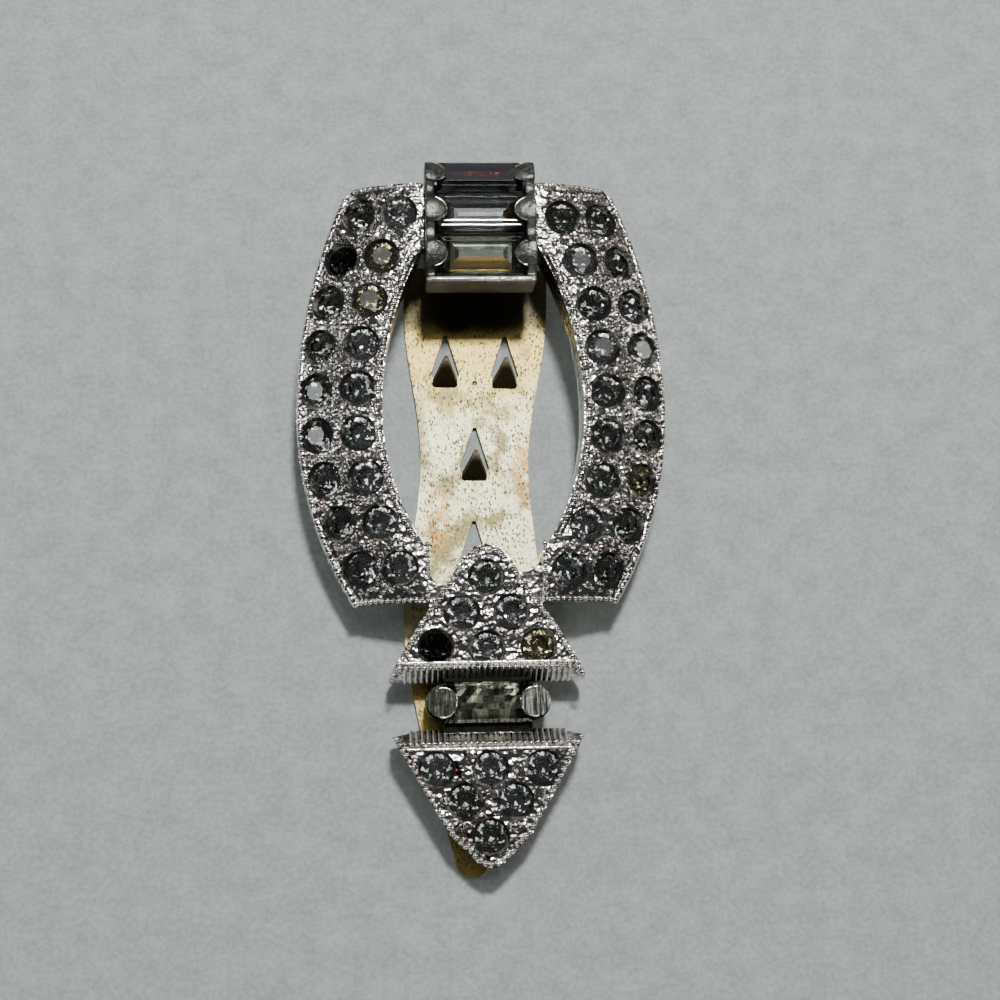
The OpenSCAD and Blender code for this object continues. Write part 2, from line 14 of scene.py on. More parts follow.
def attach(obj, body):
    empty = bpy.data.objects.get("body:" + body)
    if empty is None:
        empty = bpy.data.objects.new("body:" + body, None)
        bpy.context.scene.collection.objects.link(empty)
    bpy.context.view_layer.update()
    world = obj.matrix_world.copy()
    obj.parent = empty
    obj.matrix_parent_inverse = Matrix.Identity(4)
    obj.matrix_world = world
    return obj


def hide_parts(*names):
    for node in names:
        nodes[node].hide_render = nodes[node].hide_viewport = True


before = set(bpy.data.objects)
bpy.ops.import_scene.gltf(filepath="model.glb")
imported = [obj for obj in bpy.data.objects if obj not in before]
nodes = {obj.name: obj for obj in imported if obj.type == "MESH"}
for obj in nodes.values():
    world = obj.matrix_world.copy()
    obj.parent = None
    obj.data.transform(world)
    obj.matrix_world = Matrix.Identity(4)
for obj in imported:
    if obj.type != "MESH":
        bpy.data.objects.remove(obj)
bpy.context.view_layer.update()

# %% [markdown]
# The ornament lies on a slope: its hinge end stands higher than its point. It is easiest to work on it
# as if it lay flat, in millimetres, and to let one matrix put every finished mesh in its place. A mesh
# could also be parented and turned as an object, but then a pattern that reads Object coordinates would
# turn with it.

# %% The ornament's own frame
MM = 0.001
PITCH = math.radians(4.5)
BACK = 2.9
ORNAMENT = (Matrix.Translation((0, 0, BACK * MM)) @ Matrix.Rotation(PITCH, 4, "X")
            @ Matrix.Scale(MM, 4))
collection = bpy.context.scene.collection


def keep(name, mesh, place=None):
    """Puts a mesh in the scene as a piece of its own, with its place in the mesh."""
    if place is not None:
        mesh.transform(place)
    piece = bpy.data.objects.new(name, mesh)
    collection.objects.link(piece)
    return piece


print("slope of the ornament, degrees:", round(math.degrees(PITCH), 2))

# %% [markdown]
# The domed arms follow two arcs, one above and one below their widest point. The same few numbers that
# made the solids give any spot on an arm: how high along the frame, and how far in from the outer edge.
# A spot also has a direction that stands square off the metal, and stones and grains are turned to it.

# %% Spots on the arms and arrowheads
FRAME_HALF, WIDEST_AT = 13.35, 7.5
ARC_UPPER, ARC_LOWER = 38.546, 26.481
CREST_H, CREST_IN, DOME_R = 3.6, 5.5, 8.0
FIELD = 2.82
ROWS, ROW_TOP, ROW_STEP = 9, 21.8, 3.2
UPPER = {"half": 6.95, "base": -11.75, "tip": -2.15}
LOWER = {"half": 6.75, "base": -15.15, "tip": -24.65}


def bend_at(v, upper=ARC_UPPER, lower=ARC_LOWER):
    """The radius of the arc that an edge follows at a height along the frame."""
    return upper if v >= WIDEST_AT else lower


def on_arm(side, v, inset, lift=0.0):
    """A spot on an arm and the direction that stands square off it there."""
    bend = bend_at(v)
    turn = math.asin((v - WIDEST_AT) / (bend - inset))
    lean = math.asin((CREST_IN - inset) / DOME_R)
    off = Vector((math.sin(lean) * math.cos(turn), math.sin(lean) * math.sin(turn), math.cos(lean)))
    spot = Vector((FRAME_HALF - bend + (bend - inset) * math.cos(turn), v,
                   CREST_H - DOME_R * (1 - math.cos(lean)))) + off * lift
    if side < 0:
        spot.x, off.x = -spot.x, -off.x
    return spot, off


def over_arm(side, x, v, lift=0.0):
    """The spot on an arm straight above a place, and the direction square off it there."""
    bend = bend_at(v)
    return on_arm(side, v, bend - math.hypot(abs(x) - FRAME_HALF + bend, v - WIDEST_AT), lift)


def on_arrow(arrow, share_x, share_y, height=FIELD):
    """A spot on an arrowhead, from shares of its half width and of its length."""
    return Vector((share_x * arrow["half"],
                   arrow["base"] + share_y * (arrow["tip"] - arrow["base"]), height))


def row_v(side, row):
    """How high along the frame a row of stones lies: the right arm's rows sit a little lower."""
    return ROW_TOP - ROW_STEP * row - (0.35 if side > 0 else 0.0)


def column_in(column, row):
    """How far in a stone lies: the outer column bows in at both ends, the inner one at its last stone."""
    if column == 0:
        return 1.4 + 0.35 * (2 * row / (ROWS - 1) - 1) ** 2
    return 4.4 - (0.2 if row == ROWS - 1 else 0.0)


ARM_SPOTS = {side: [on_arm(side, row_v(side, row), column_in(column, row))
                    for row in range(ROWS) for column in range(2)] for side in (-1, 1)}
UPPER_SPOTS = [on_arrow(UPPER, *s) for s in
               [(0, 0.76), (-0.252, 0.5), (0.252, 0.5), (-0.52, 0.25), (0, 0.235), (0.52, 0.25)]]
LOWER_SPOTS = [on_arrow(LOWER, *s) for s in
               [(-0.545, 0.285), (0.01, 0.285), (0.555, 0.285), (-0.26, 0.52), (0.26, 0.52), (0, 0.775)]]
print("round stones:", sum(len(s) for s in ARM_SPOTS.values()) + len(UPPER_SPOTS) + len(LOWER_SPOTS))

# %% [markdown]
# The camera looks down on the clip, a little from the left and from the point end. Its place was found
# by matching the centres of the stones with the picture. A long lens from a hand's breadth away keeps
# the shapes calm.

# %% Camera
AIM = Vector((1.064, 0.718, 6.0)) * MM
AZIMUTH, ELEVATION, ROLL = math.radians(-17.9), math.radians(77.3), math.radians(-1.467)
DISTANCE = 130
PIXELS_A_MM, PICTURE = 14.116, 1000
FILM_WIDTH = 36

away = Vector((math.sin(AZIMUTH) * math.cos(ELEVATION), -math.cos(AZIMUTH) * math.cos(ELEVATION),
               math.sin(ELEVATION)))
painted_glints_and_shade = Vector((0, 1, 0)).cross(away).normalized()
upright = away.cross(painted_glints_and_shade)
across = math.cos(ROLL) * painted_glints_and_shade + math.sin(ROLL) * upright
rise = math.cos(ROLL) * upright - math.sin(ROLL) * painted_glints_and_shade
eye = bpy.data.cameras.new("camera")
eye.sensor_width = FILM_WIDTH
eye.lens = FILM_WIDTH * (PIXELS_A_MM * DISTANCE / PICTURE)
eye.clip_start, eye.clip_end = 0.005, 5
camera = bpy.data.objects.new("camera", eye)
camera.matrix_world = (Matrix.Translation(AIM + DISTANCE * MM * away)
                       @ Matrix((across, rise, away)).transposed().to_4x4())
collection.objects.link(camera)
bpy.context.scene.camera = camera
print("lens, mm:", round(eye.lens, 1))

# %% [markdown]
# Shader maths is easier to read as arithmetic than as a picture of nodes. This class wraps one output
# of a material's tree. Adding or multiplying wrapped values adds the Math nodes, and 1 - mask works too.
# Every other node comes from one method, which sets the node's own settings first and its sockets after.

# %% Values that write their own nodes
def add_node(tree, kind, settings, sockets):
    """Adds a node to a tree, sets it up, links or fills its sockets, and gives back its outputs."""
    made = tree.nodes.new(kind)
    for key, value in (settings or {}).items():
        setattr(made, key, value)
    for key, value in (sockets or {}).items():
        if isinstance(value, bpy.types.NodeSocket):
            tree.links.new(value, made.inputs[key])
        else:
            made.inputs[key].default_value = value
    return made.outputs


class Value:
    """One value in a material: an output socket, with arithmetic."""

    def __init__(self, tree, socket=None):
        self.tree, self.socket = tree, socket

    def node(self, kind, settings=None, sockets=None, out=0):
        """Adds a node and gives back one of its outputs as a value."""
        sockets = {key: getattr(value, "socket", value) for key, value in (sockets or {}).items()}
        return Value(self.tree, add_node(self.tree, kind, settings, sockets)[out])

    def maths(self, operation, first, second=0.0):
        return self.node("ShaderNodeMath", {"operation": operation}, {0: first, 1: second})

    def __add__(self, other):
        return self.maths("ADD", self, other)

    __radd__ = __add__

    def __sub__(self, other):
        return self.maths("SUBTRACT", self, other)

    def __rsub__(self, other):
        return self.maths("SUBTRACT", other, self)

    def __mul__(self, other):
        return self.maths("MULTIPLY", self, other)

    __rmul__ = __mul__

    def __truediv__(self, other):
        return self.maths("DIVIDE", self, other)

    def size(self):
        """This number without its sign."""
        return self.maths("ABSOLUTE", self)

    def most(self, other):
        return self.maths("MAXIMUM", self, other)

    def above(self, low, high):
        """0 below low, 1 above high and smooth between."""
        return self.node("ShaderNodeMapRange", {"interpolation_type": "SMOOTHSTEP"},
                         {0: self, 1: low, 2: high, 3: 0.0, 4: 1.0})

    def below(self, low, high):
        """1 below low, 0 above high and smooth between."""
        return 1 - self.above(low, high)

    def within(self, low, high, soft):
        """1 from low to high and 0 outside, with edges of a softness."""
        return self.above(low - soft / 2, low + soft / 2) * self.below(high - soft / 2, high + soft / 2)

    def colours(self, low, high):
        """Mixes two colours, with this value as the factor."""
        return self.node("ShaderNodeMix", {"data_type": "RGBA"}, {0: self, 6: low, 7: high}, out=2)

    def toward(self, other, share):
        """This colour, painted over with another one by a share."""
        return share.colours(self, other)

    def grow(self, factor):
        """This vector times a number."""
        return self.node("ShaderNodeVectorMath", {"operation": "SCALE"}, {0: self, "Scale": factor})

    def stretch(self, scale, turn=0.0):
        """This point turned about Z and stretched along each axis."""
        return self.node("ShaderNodeMapping", None,
                         {"Vector": self, "Rotation": (0, 0, turn), "Scale": scale})

    def part(self, axis):
        return self.node("ShaderNodeSeparateXYZ", None, {0: self}, out="XYZ".index(axis))

    def noise(self, scale, detail=2.0, rough=0.5):
        return self.node("ShaderNodeTexNoise", None,
                         {"Vector": self, "Scale": scale, "Detail": detail, "Roughness": rough})

    def cells(self, scale):
        """Distance to the nearest of many scattered spots."""
        return self.node("ShaderNodeTexVoronoi", None, {"Vector": self, "Scale": scale}, out="Distance")

    def near(self, x, y, wide, tall):
        """1 inside an ellipse about a spot in millimetres, fading to 0 outside it."""
        dx = (self.part("X") - x) / wide
        dy = (self.part("Y") - y) / tall
        return (dx * dx + dy * dy).below(0.5, 1.5)


def material(name, **fixed):
    """A material, its shader, and a point in millimetres in the object's own coordinates."""
    made = bpy.data.materials.new(name)
    made.use_nodes = True
    shader = made.node_tree.nodes["Principled BSDF"]
    for key, value in fixed.items():
        shader.inputs[key.replace("_", " ")].default_value = value
    point = Value(made.node_tree).node("ShaderNodeTexCoord", out="Object").grow(1 / MM)
    return made, shader, point


def dress(shader, base, rough=None, normal=None):
    """Feeds the shader what changes over a surface."""
    for name, value in (("Base Color", base), ("Roughness", rough), ("Normal", normal)):
        if value is not None:
            value.tree.links.new(value.socket, shader.inputs[name])


def bumps(height, distance, strength):
    """A Bump node fed by a height; distance in millimetres."""
    return height.node("ShaderNodeBump", None,
                       {"Height": height, "Distance": distance * MM, "Strength": strength})


def colour(painted_red_sheen, green, blue):
    return (painted_red_sheen, green, blue, 1.0)


print("shader maths ready")

# %% [markdown]
# The casting is white metal with a bright plating, now dulled. A mirror would look like plastic chrome,
# so soft bumps break the highlights as a cast skin does, a dark film lies over the face in patches, and
# here and there a warm tint is painted in as a warm reflection. The walls below the face are calmer and
# cleaner. Inside the cup the grey is darkened with painted shade, and a painted red reflection lies in
# part of the lower arrowhead.

# %% Cast metal
WALL_TOP, FACE_FROM = 1.21, 2.01


def over_back(point):
    """Millimetres over the ornament's back."""
    return (point.part("Z") - BACK) * math.cos(PITCH) - point.part("Y") * math.sin(PITCH)


def cup_tone_and_painted_light(point, face, base, rough, skin):
    """The streaked grey inside of the cup, darkened with painted shade and near black deep down, and a
    painted red reflection on the lower arrowhead.
    """
    across, along = point.part("X"), point.part("Y")
    # The cup's inside is a darker, streaked grey metal, darkened further as painted shade.
    inside = along.within(-15.45, -11.6, 0.1) * across.size().below(4.4, 4.5)
    streaks = point.stretch((5.0, 0.4, 1.0)).noise(1.6, 3.0)
    light = across.above(-1.0, 1.0).colours(colour(0.10, 0.11, 0.085), colour(0.30, 0.31, 0.27))
    cup_grey_and_shade = streaks.above(0.4, 0.66).colours(colour(0.03, 0.035, 0.025), light)
    # Below this height the cup goes near black: painted shade.
    cup_grey_and_shade = over_back(point).above(2.41, 2.71).colours(colour(0.012, 0.012, 0.01), cup_grey_and_shade)
    # Dark red patches on part of the lower arrowhead's face: a painted red reflection.
    painted_red_sheen = point.noise(1.3, 2.0).above(0.56, 0.64) * along.below(-17.0, -15.6) * across.below(-0.5, 1.5)
    base = base.toward(cup_grey_and_shade, inside).toward(colour(0.04, 0.005, 0.007), painted_red_sheen * face)
    return base, rough + inside * 0.25, skin * (1 - inside * 0.8) + streaks * inside * 0.3


def cast_metal(name, bright, film, pits, dull=0.1, cup=False):
    """Plated metal, with a share of dark film, a depth of pits and a dullness."""
    made, shader, point = material(name, Metallic=1.0)
    cloud, fine = point.noise(0.8, 3.0, 0.6), point.noise(2.6, 3.0, 0.6)
    face = over_back(point).above(WALL_TOP, FACE_FROM)
    least = 0.5 - film * 0.065
    dirt = (cloud * 0.45 + fine * 0.55).above(least, least + 0.1) * film * (0.06 + face * 0.94)
    # Warm patches painted into the colour stand in for warm reflections: a painted reflection.
    painted_warm_sheen = point.noise(1.1, 3.0).above(0.5, 0.66) * 0.55
    base = painted_warm_sheen.colours(colour(*bright), colour(0.74, 0.57, 0.50))
    base = base.toward(colour(0.06, 0.052, 0.045), dirt)
    rough = dull + fine * 0.1 + dirt * 0.15
    skin = point.noise(2.1, 1.2, 0.5) * (pits * (0.25 + face * 0.75)) + point.noise(0.9, 2.0) * 0.6
    if cup:
        base, rough, skin = cup_tone_and_painted_light(point, face, base, rough, skin)
    dress(shader, base, rough, bumps(skin, 0.22, 0.8))
    return made


plated = cast_metal("plated_metal", (0.88, 0.855, 0.81), 0.8, 1.0, cup=True)
bead_metal = cast_metal("bead_metal", (0.91, 0.885, 0.82), 0.35, 0.12)
rib_metal = cast_metal("rib_metal", (0.91, 0.885, 0.84), 0.25, 0.12, dull=0.34)
print("cast metals:", [m.name for m in (plated, bead_metal, rib_metal)])

# %% [markdown]
# The channel over the bar is a darker, greenish metal with a paler front wall. The hinge's brass was
# never seen, so it is plain. The seats hold a near-black ring round each stone: old cement and dirt, with
# painted shade in the gap. Grey metal shows where some of it has gone.

# %% Dark metal, brass and cement
FRONT_WALL = (16.3, 16.5)


def dark_metal():
    made, shader, point = material("setting_metal", Metallic=1.0)
    cloud = point.noise(0.8, 4.0, 0.6)
    worn = point.noise(3.0, 3.0, 0.6).above(0.5, 0.7)
    base = cloud.above(0.35, 0.65).colours(colour(0.07, 0.08, 0.068), colour(0.19, 0.205, 0.175))
    front = cloud.colours(colour(0.16, 0.14, 0.13), colour(0.62, 0.55, 0.50))
    base = base.toward(colour(0.40, 0.36, 0.31), worn * 0.4)
    base = base.toward(front, point.part("Y").below(*FRONT_WALL) * 0.8)
    dress(shader, base, 0.34 + cloud * 0.2, bumps(point.noise(1.8, 3.0, 0.6), 0.2, 0.6))
    return made


def brass():
    made, shader, point = material("brass", Metallic=1.0)
    cloud = point.noise(0.7, 4.0, 0.6).above(0.35, 0.7)
    dress(shader, cloud.colours(colour(0.72, 0.58, 0.34), colour(0.40, 0.31, 0.19)), 0.26 + cloud * 0.24,
          bumps(point.noise(3.0, 4.0, 0.6), 0.05, 0.4))
    return made


def cement_and_shade_finish():
    made, shader, point = material("cement_and_seat_shade", Metallic=0.0, Specular_IOR_Level=0.12)
    crumb = point.noise(6.0, 3.0, 0.6)
    # Near black: old cement and dirt, with the shade down in the seat's gap painted in.
    base = crumb.above(0.4, 0.75).colours(colour(0.006, 0.006, 0.006), colour(0.035, 0.03, 0.026))
    gone = point.noise(0.7, 2.0).above(0.5, 0.6) * crumb.above(0.35, 0.6)
    dress(shader, base.toward(colour(0.24, 0.23, 0.20), gone * 0.7), 0.35 + crumb * 0.4)
    return made


setting_metal, hinge_brass, cement_and_seat_shade = dark_metal(), brass(), cement_and_shade_finish()
print("dark finishes:", [m.name for m in (setting_metal, hinge_brass, cement_and_seat_shade)])

# %% [markdown]
# The leaf is pale brass sheet. It has gone yellow near the hinge and toward the point, is darker toward its
# edges beside the upper holes, and carries fine dark specks, scratches and two rusty stains. Its teeth are
# painted dark as shade, with painted highlights on their tips, and a painted shadow falls on it under the
# bar.
# It is painted in layers: the metal first, then each layer on top, all of it drawn from Object coordinates
# in millimetres.

# %% Leaf brass
def leaf_brass():
    made, shader, point = material("leaf_brass", Metallic=1.0)
    across, along, height = (point.part(axis) for axis in "XYZ")
    cloud = point.noise(0.45, 5.0, 0.6)
    base = cloud.above(0.4, 0.58).colours(colour(0.12, 0.10, 0.045), colour(0.48, 0.47, 0.29))
    yellow = along.below(-12.0, -6.0).most(along.above(7.0, 13.0)) * cloud.above(0.28, 0.5)
    base = base.toward(colour(0.40, 0.30, 0.085), yellow * 0.9)
    # The leaf is darker toward its left and right edges beside the upper holes.
    darker_edges = (across.size() + cloud * 2.0).above(4.6, 5.6) * along.within(3.0, 10.0, 2.0)
    base = base.toward(colour(0.13, 0.11, 0.06), darker_edges * 0.7)
    rust = (point.near(-3.2, 0.5, 1.0, 2.4) * 0.6).most(point.near(3.4, 4.0, 0.9, 3.2) * 0.8)
    base = base.toward(colour(0.30, 0.16, 0.045), rust * point.noise(1.5, 3.0).above(0.35, 0.6))
    slant = point.stretch((1.5, 0.8, 1.0), 0.3)
    specks = slant.cells(3.4).below(0.22, 0.4) * point.noise(1.1, 2.0).above(0.42, 0.56)
    specks = specks.most(slant.noise(4.2, 3.0, 0.7).above(0.54, 0.66) * 0.8)
    base = base.toward(colour(0.07, 0.055, 0.035), specks * 0.85)
    # The teeth are painted dark: painted shade on faces that stand in shadow.
    teeth = height.above(0.5, 0.62) * along.below(16.0, 17.0)
    base = base.toward(colour(0.07, 0.05, 0.035), teeth * 0.95)
    # Their tips are painted light: a painted highlight.
    base = base.toward(colour(0.66, 0.60, 0.52), teeth * height.above(2.3, 3.2) * 0.85)
    # Near black where the leaf runs under the bar: a painted shadow.
    painted_shadow_under_bar = (along + cloud * 3.0).above(15.9, 17.2)
    base = base.toward(colour(0.04, 0.035, 0.025), painted_shadow_under_bar * 0.92)
    scratches = point.stretch((6.0, 0.5, 1.0), 0.6).noise(2.0, 3.0, 0.7)
    dress(shader, base, 0.32 + cloud * 0.2 + specks * 0.2,
          bumps(point.noise(2.2, 5.0, 0.7) + scratches * 0.6, 0.04, 0.5))
    return made


leaf_metal = leaf_brass()
print("leaf finish:", leaf_metal.name)

# %% [markdown]
# The stones are paste: cut glass with a bright foil behind. One shiny finish could stand for both, but
# light that goes in through glass, bounces off the facets of the foil and comes out broken gives the
# real sparkle. So the crown is clear glass, and the cone behind it is metal. Some foils have gone grey,
# green or black with age. A colour attribute carries that: a tint for each round stone, or for each
# facet of a long one.

# %% Glass and foil
def glass():
    made, shader, _ = material("paste_glass", Roughness=0.02, IOR=1.55, Transmission_Weight=1.0)
    shader.inputs["Base Color"].default_value = colour(0.97, 0.98, 0.97)
    return made


def foil(name, shine, blotch):
    """Foil of a roughness, with a share of dull blotches."""
    made, shader, point = material(name, Metallic=1.0)
    tint = point.node("ShaderNodeAttribute", {"attribute_name": "tint"}, out="Color")
    spots = point.noise(0.9, 2.0, 0.5).above(0.44, 0.6) * blotch
    dull = tint.node("ShaderNodeMix", {"data_type": "RGBA", "blend_type": "MULTIPLY"},
                     {0: 1.0, 6: tint, 7: colour(0.20, 0.23, 0.21)}, out=2)
    dress(shader, tint.toward(dull, spots * 0.8), shine + spots * 0.12)
    return made


paste_glass, stone_foil = glass(), foil("foil", 0.05, 0.35)
bar_foil, cup_foil = foil("bar_foil", 0.2, 0.5), foil("cup_foil", 0.14, 0.3)
TINTS = {"c": (0.96, 0.97, 0.96), "g": (0.84, 0.86, 0.85), "s": (0.70, 0.72, 0.68),
         "v": (0.78, 0.82, 0.72), "y": (0.92, 0.86, 0.66), "d": (0.10, 0.10, 0.10)}
print("foils: 3, stone tints:", "".join(TINTS))

# %% [markdown]
# Geometry Nodes do the repeating. A tree is built with named inputs for its sizes, runs once on a small
# source mesh, and its result is kept as a plain mesh. It could be modelled by hand or with an array
# modifier, but a tree follows any path at an even spacing, and the numbers can be changed later.

# %% Trees that grow pieces
class Graph:
    """A Geometry Nodes tree with named inputs."""

    def __init__(self, name, **inputs):
        self.tree = bpy.data.node_groups.new(name, "GeometryNodeTree")
        face = self.tree.interface
        face.new_socket("Geometry", in_out="INPUT", socket_type="NodeSocketGeometry")
        for key, kind in inputs.items():
            face.new_socket(key, in_out="INPUT", socket_type="NodeSocket" + kind)
        face.new_socket("Geometry", in_out="OUTPUT", socket_type="NodeSocketGeometry")
        self.inputs = self.tree.nodes.new("NodeGroupInput").outputs
        print("tree", name, "takes", ", ".join(inputs))

    def node(self, kind, settings=None, sockets=None, out=0):
        return add_node(self.tree, kind, settings, sockets)[out]

    def chance(self, low, high, seed):
        """A random number for each point, or a random vector where the limits are vectors."""
        kind, first, out = ("FLOAT_VECTOR", 0, 0) if isinstance(high, tuple) else ("FLOAT", 2, 1)
        return self.node("FunctionNodeRandomValue", {"data_type": kind},
                         {first: low, first + 1: high, "Seed": seed}, out)

    def sweep(self, path, radius):
        """A round wire along a mesh of lines."""
        curve = self.node("GeometryNodeMeshToCurve", None, {0: path})
        ring = self.node("GeometryNodeCurvePrimitiveCircle", {"mode": "RADIUS"},
                         {"Resolution": 8, "Radius": radius})
        bar = self.node("GeometryNodeCurveToMesh", None,
                        {"Curve": curve, "Profile Curve": ring, "Fill Caps": True})
        return self.node("GeometryNodeSetShadeSmooth", None, {0: bar})

    def copies(self, points, shape, **more):
        """A copy of a shape on each point."""
        return self.node("GeometryNodeInstanceOnPoints", None, {"Points": points, "Instance": shape, **more})

    def close(self, geometry, **coats):
        """Ends the tree: real geometry, each material input on its selection of faces, the output."""
        geometry = self.node("GeometryNodeRealizeInstances", None, {0: geometry})
        for name, chosen in (coats or {"Material": True}).items():
            geometry = self.node("GeometryNodeSetMaterial", None,
                                 {0: geometry, "Selection": chosen, "Material": self.inputs[name]})
        self.tree.links.new(geometry, self.tree.nodes.new("NodeGroupOutput").inputs[0])
        return self

    def grow(self, name, source, **values):
        """Runs the tree on a source mesh and keeps the result as a plain mesh on the ornament."""
        carrier = keep(name + "_source", source)
        modifier = carrier.modifiers.new("grow", "NODES")
        modifier.node_group = self.tree
        for item in self.tree.interface.items_tree:
            if item.in_out == "INPUT" and item.name in values:
                modifier[item.identifier] = values[item.name]
        mesh = bake_down(carrier)
        print(name, "faces:", len(mesh.polygons))
        return keep(name, mesh, ORNAMENT)


def bake_down(carrier):
    """Turns an object and its modifiers into one plain mesh, and takes the object away."""
    ready = carrier.evaluated_get(bpy.context.evaluated_depsgraph_get())
    mesh = bpy.data.meshes.new_from_object(ready)
    bpy.data.objects.remove(carrier)
    return mesh


def new_mesh(name, points, edges=(), faces=()):
    mesh = bpy.data.meshes.new(name)
    mesh.from_pydata([tuple(p) for p in points], list(edges), list(faces))
    return mesh


def path_mesh(name, lines):
    """A mesh of bare lines, one for each list of points."""
    points, edges = [], []
    for line in lines:
        first = len(points)
        points += line
        edges += [(first + i, first + i + 1) for i in range(len(line) - 1)]
    return new_mesh(name, points, edges)


def spots_mesh(name, spots, **attributes):
    """A mesh of bare points, with a colour or a vector for each."""
    mesh = new_mesh(name, spots)
    for key, values in attributes.items():
        kind, slot = ("FLOAT_COLOR", "color") if len(values[0]) == 4 else ("FLOAT_VECTOR", "vector")
        layer = mesh.attributes.new(key, kind, "POINT")
        for item, value in zip(layer.data, values):
            setattr(item, slot, value)
    return mesh


# %% [markdown]
# Milgrain is a row of tiny beads rolled along an edge. The solids have a round wire there, and the beads
# sit on it. Each bead is a ball of few faces, a little different in size, because the tool wore and the
# plating filled in.

# %% Milgrain tree
ANY_TURN = (6.28, 6.28, 6.28)


def milgrain_tree():
    g = Graph("milgrain", Pitch="Float", Radius="Float", Material="Material")
    curve = g.node("GeometryNodeMeshToCurve", None, {0: g.inputs["Geometry"]})
    even = g.node("GeometryNodeResampleCurve", {"mode": "LENGTH"},
                  {"Curve": curve, "Length": g.inputs["Pitch"]})
    ball = g.node("GeometryNodeMeshIcoSphere", None, {"Radius": g.inputs["Radius"], "Subdivisions": 2})
    ball = g.node("GeometryNodeSetShadeSmooth", None, {0: ball})
    beads = g.copies(even, ball, Rotation=g.chance((0, 0, 0), ANY_TURN, 5), Scale=g.chance(0.82, 1.08, 3))
    return g.close(beads)


milgrain = milgrain_tree()

# %% [markdown]
# A smooth raised line is the simplest tree of all: a circle swept along a path. It serves for the thin
# borders inside the arrowheads and for worn, bright edges.

# %% Wire tree
def wire_tree():
    g = Graph("wire", Radius="Float", Material="Material")
    return g.close(g.sweep(g.inputs["Geometry"], g.inputs["Radius"]))


wire = wire_tree()


def raised_lines(name, lines, radius):
    return wire.grow(name, path_mesh(name + "_paths", lines), Radius=radius, Material=bead_metal)

# %% [markdown]
# Beads run along the outer edge of each arm, round its foot and its ends, along the opening and round
# both arrowheads. The paths come from the same numbers as the solids, so the beads stay on their wires.

# %% Beads along the edges
FRAME_TOP, FRAME_FOOT = 24.0, -6.3
OPENING_HALF, OPENING_UPPER, OPENING_LOWER = 7.2, 24.477, 18.016
BEAD_IN = 0.34
UPPER_SHAPE = [(1, 0.035), (0.69, 0.42), (0.38, 0.73), (0.25, 0.89), (0.13, 0.975), (0, 1)]
LOWER_SHAPE = [(1, 0.045), (0.42, 0.76), (0.15, 0.955), (0.06, 1)]


def spread(low, high, steps):
    """Numbers at even steps from low to high, with both ends."""
    return [low + (high - low) * i / steps for i in range(steps + 1)]


def arm_edge(side):
    return [on_arm(side, v, BEAD_IN, 0.1)[0] for v in spread(FRAME_TOP - 0.9, FRAME_FOOT + 0.15, 60)]


def opening_edge(side):
    line = []
    for v in spread(18.5, -1.6, 40):
        bend = bend_at(v, OPENING_UPPER, OPENING_LOWER)
        turn = math.asin((v - WIDEST_AT) / (bend + BEAD_IN))
        x = OPENING_HALF - bend + (bend + BEAD_IN - 0.02) * math.cos(turn)
        line.append(Vector((side * x, v, CREST_H - 0.01)))
    return line


def arrow_edge(arrow, shape):
    """An arrowhead's outline, drawn in a little toward its middle."""
    mid, share = 0.36, 0.955
    right = [on_arrow(arrow, x * share, mid + (y - mid) * share, 3.0) for x, y in shape]
    left = [Vector((-p.x, p.y, p.z)) for p in reversed(right)]
    return right + (left[1:] if shape[-1][0] == 0 else left)


def end_edges(side):
    """The foot edge, the end wall and the top edge of an arm."""
    foot = [on_arm(side, FRAME_FOOT + 0.22, inset, 0.05)[0]
            for inset in spread(BEAD_IN + 0.3, BEAD_IN + 4.5, 12)]
    wall = [over_arm(side, 4.15, v, 0.04)[0] for v in spread(FRAME_FOOT + 0.5, FRAME_FOOT + 4.1, 8)]
    top = [over_arm(side, x, FRAME_TOP - 0.2)[0] for x in spread(4.3, 8.9, 10)]
    return [foot, wall, top]


def beads(name, lines, pitch, radius):
    return milgrain.grow(name, path_mesh(name + "_lines", lines), Pitch=pitch, Radius=radius,
                         Material=bead_metal)


arm_beads = beads("milgrain_arms", [arm_edge(-1), arm_edge(1)], 0.5, 0.25)
end_beads = beads("milgrain_ends", end_edges(-1) + end_edges(1), 0.4, 0.19)
opening_beads = beads("milgrain_opening", [opening_edge(-1), opening_edge(1)], 0.46, 0.24)
arrow_beads = beads("milgrain_arrowheads",
                    [arrow_edge(UPPER, UPPER_SHAPE), arrow_edge(LOWER, LOWER_SHAPE)], 0.44, 0.21)

# %% [markdown]
# The straight base of each arrowhead has a ribbed wall, like the edge of a coin. One rib is a short
# round bar that runs up the slope and over its edge. The tree sweeps it along its profile and sets it
# out along the base.

# %% Ribs
RIB_PROFILE = [(0.1, 0.7), (0.14, 1.25), (0.58, 2.0), (1.0, 2.72), (1.14, 2.88)]
RIB_PITCH, RIB_WIDTH = 0.4, 0.17


def rib_tree():
    g = Graph("ribs", Pitch="Float", Count="Int", Width="Float", Material="Material")
    step = g.node("ShaderNodeCombineXYZ", None, {0: g.inputs["Pitch"]})
    line = g.node("GeometryNodeMeshLine", {"mode": "OFFSET"}, {"Count": g.inputs["Count"], "Offset": step})
    ribs = g.copies(line, g.sweep(g.inputs["Geometry"], g.inputs["Width"]))
    return g.close(ribs)


def inward(arrow, inset):
    """A height along the frame, a little in from an arrowhead's base."""
    return arrow["base"] + (inset if arrow["tip"] > arrow["base"] else -inset)


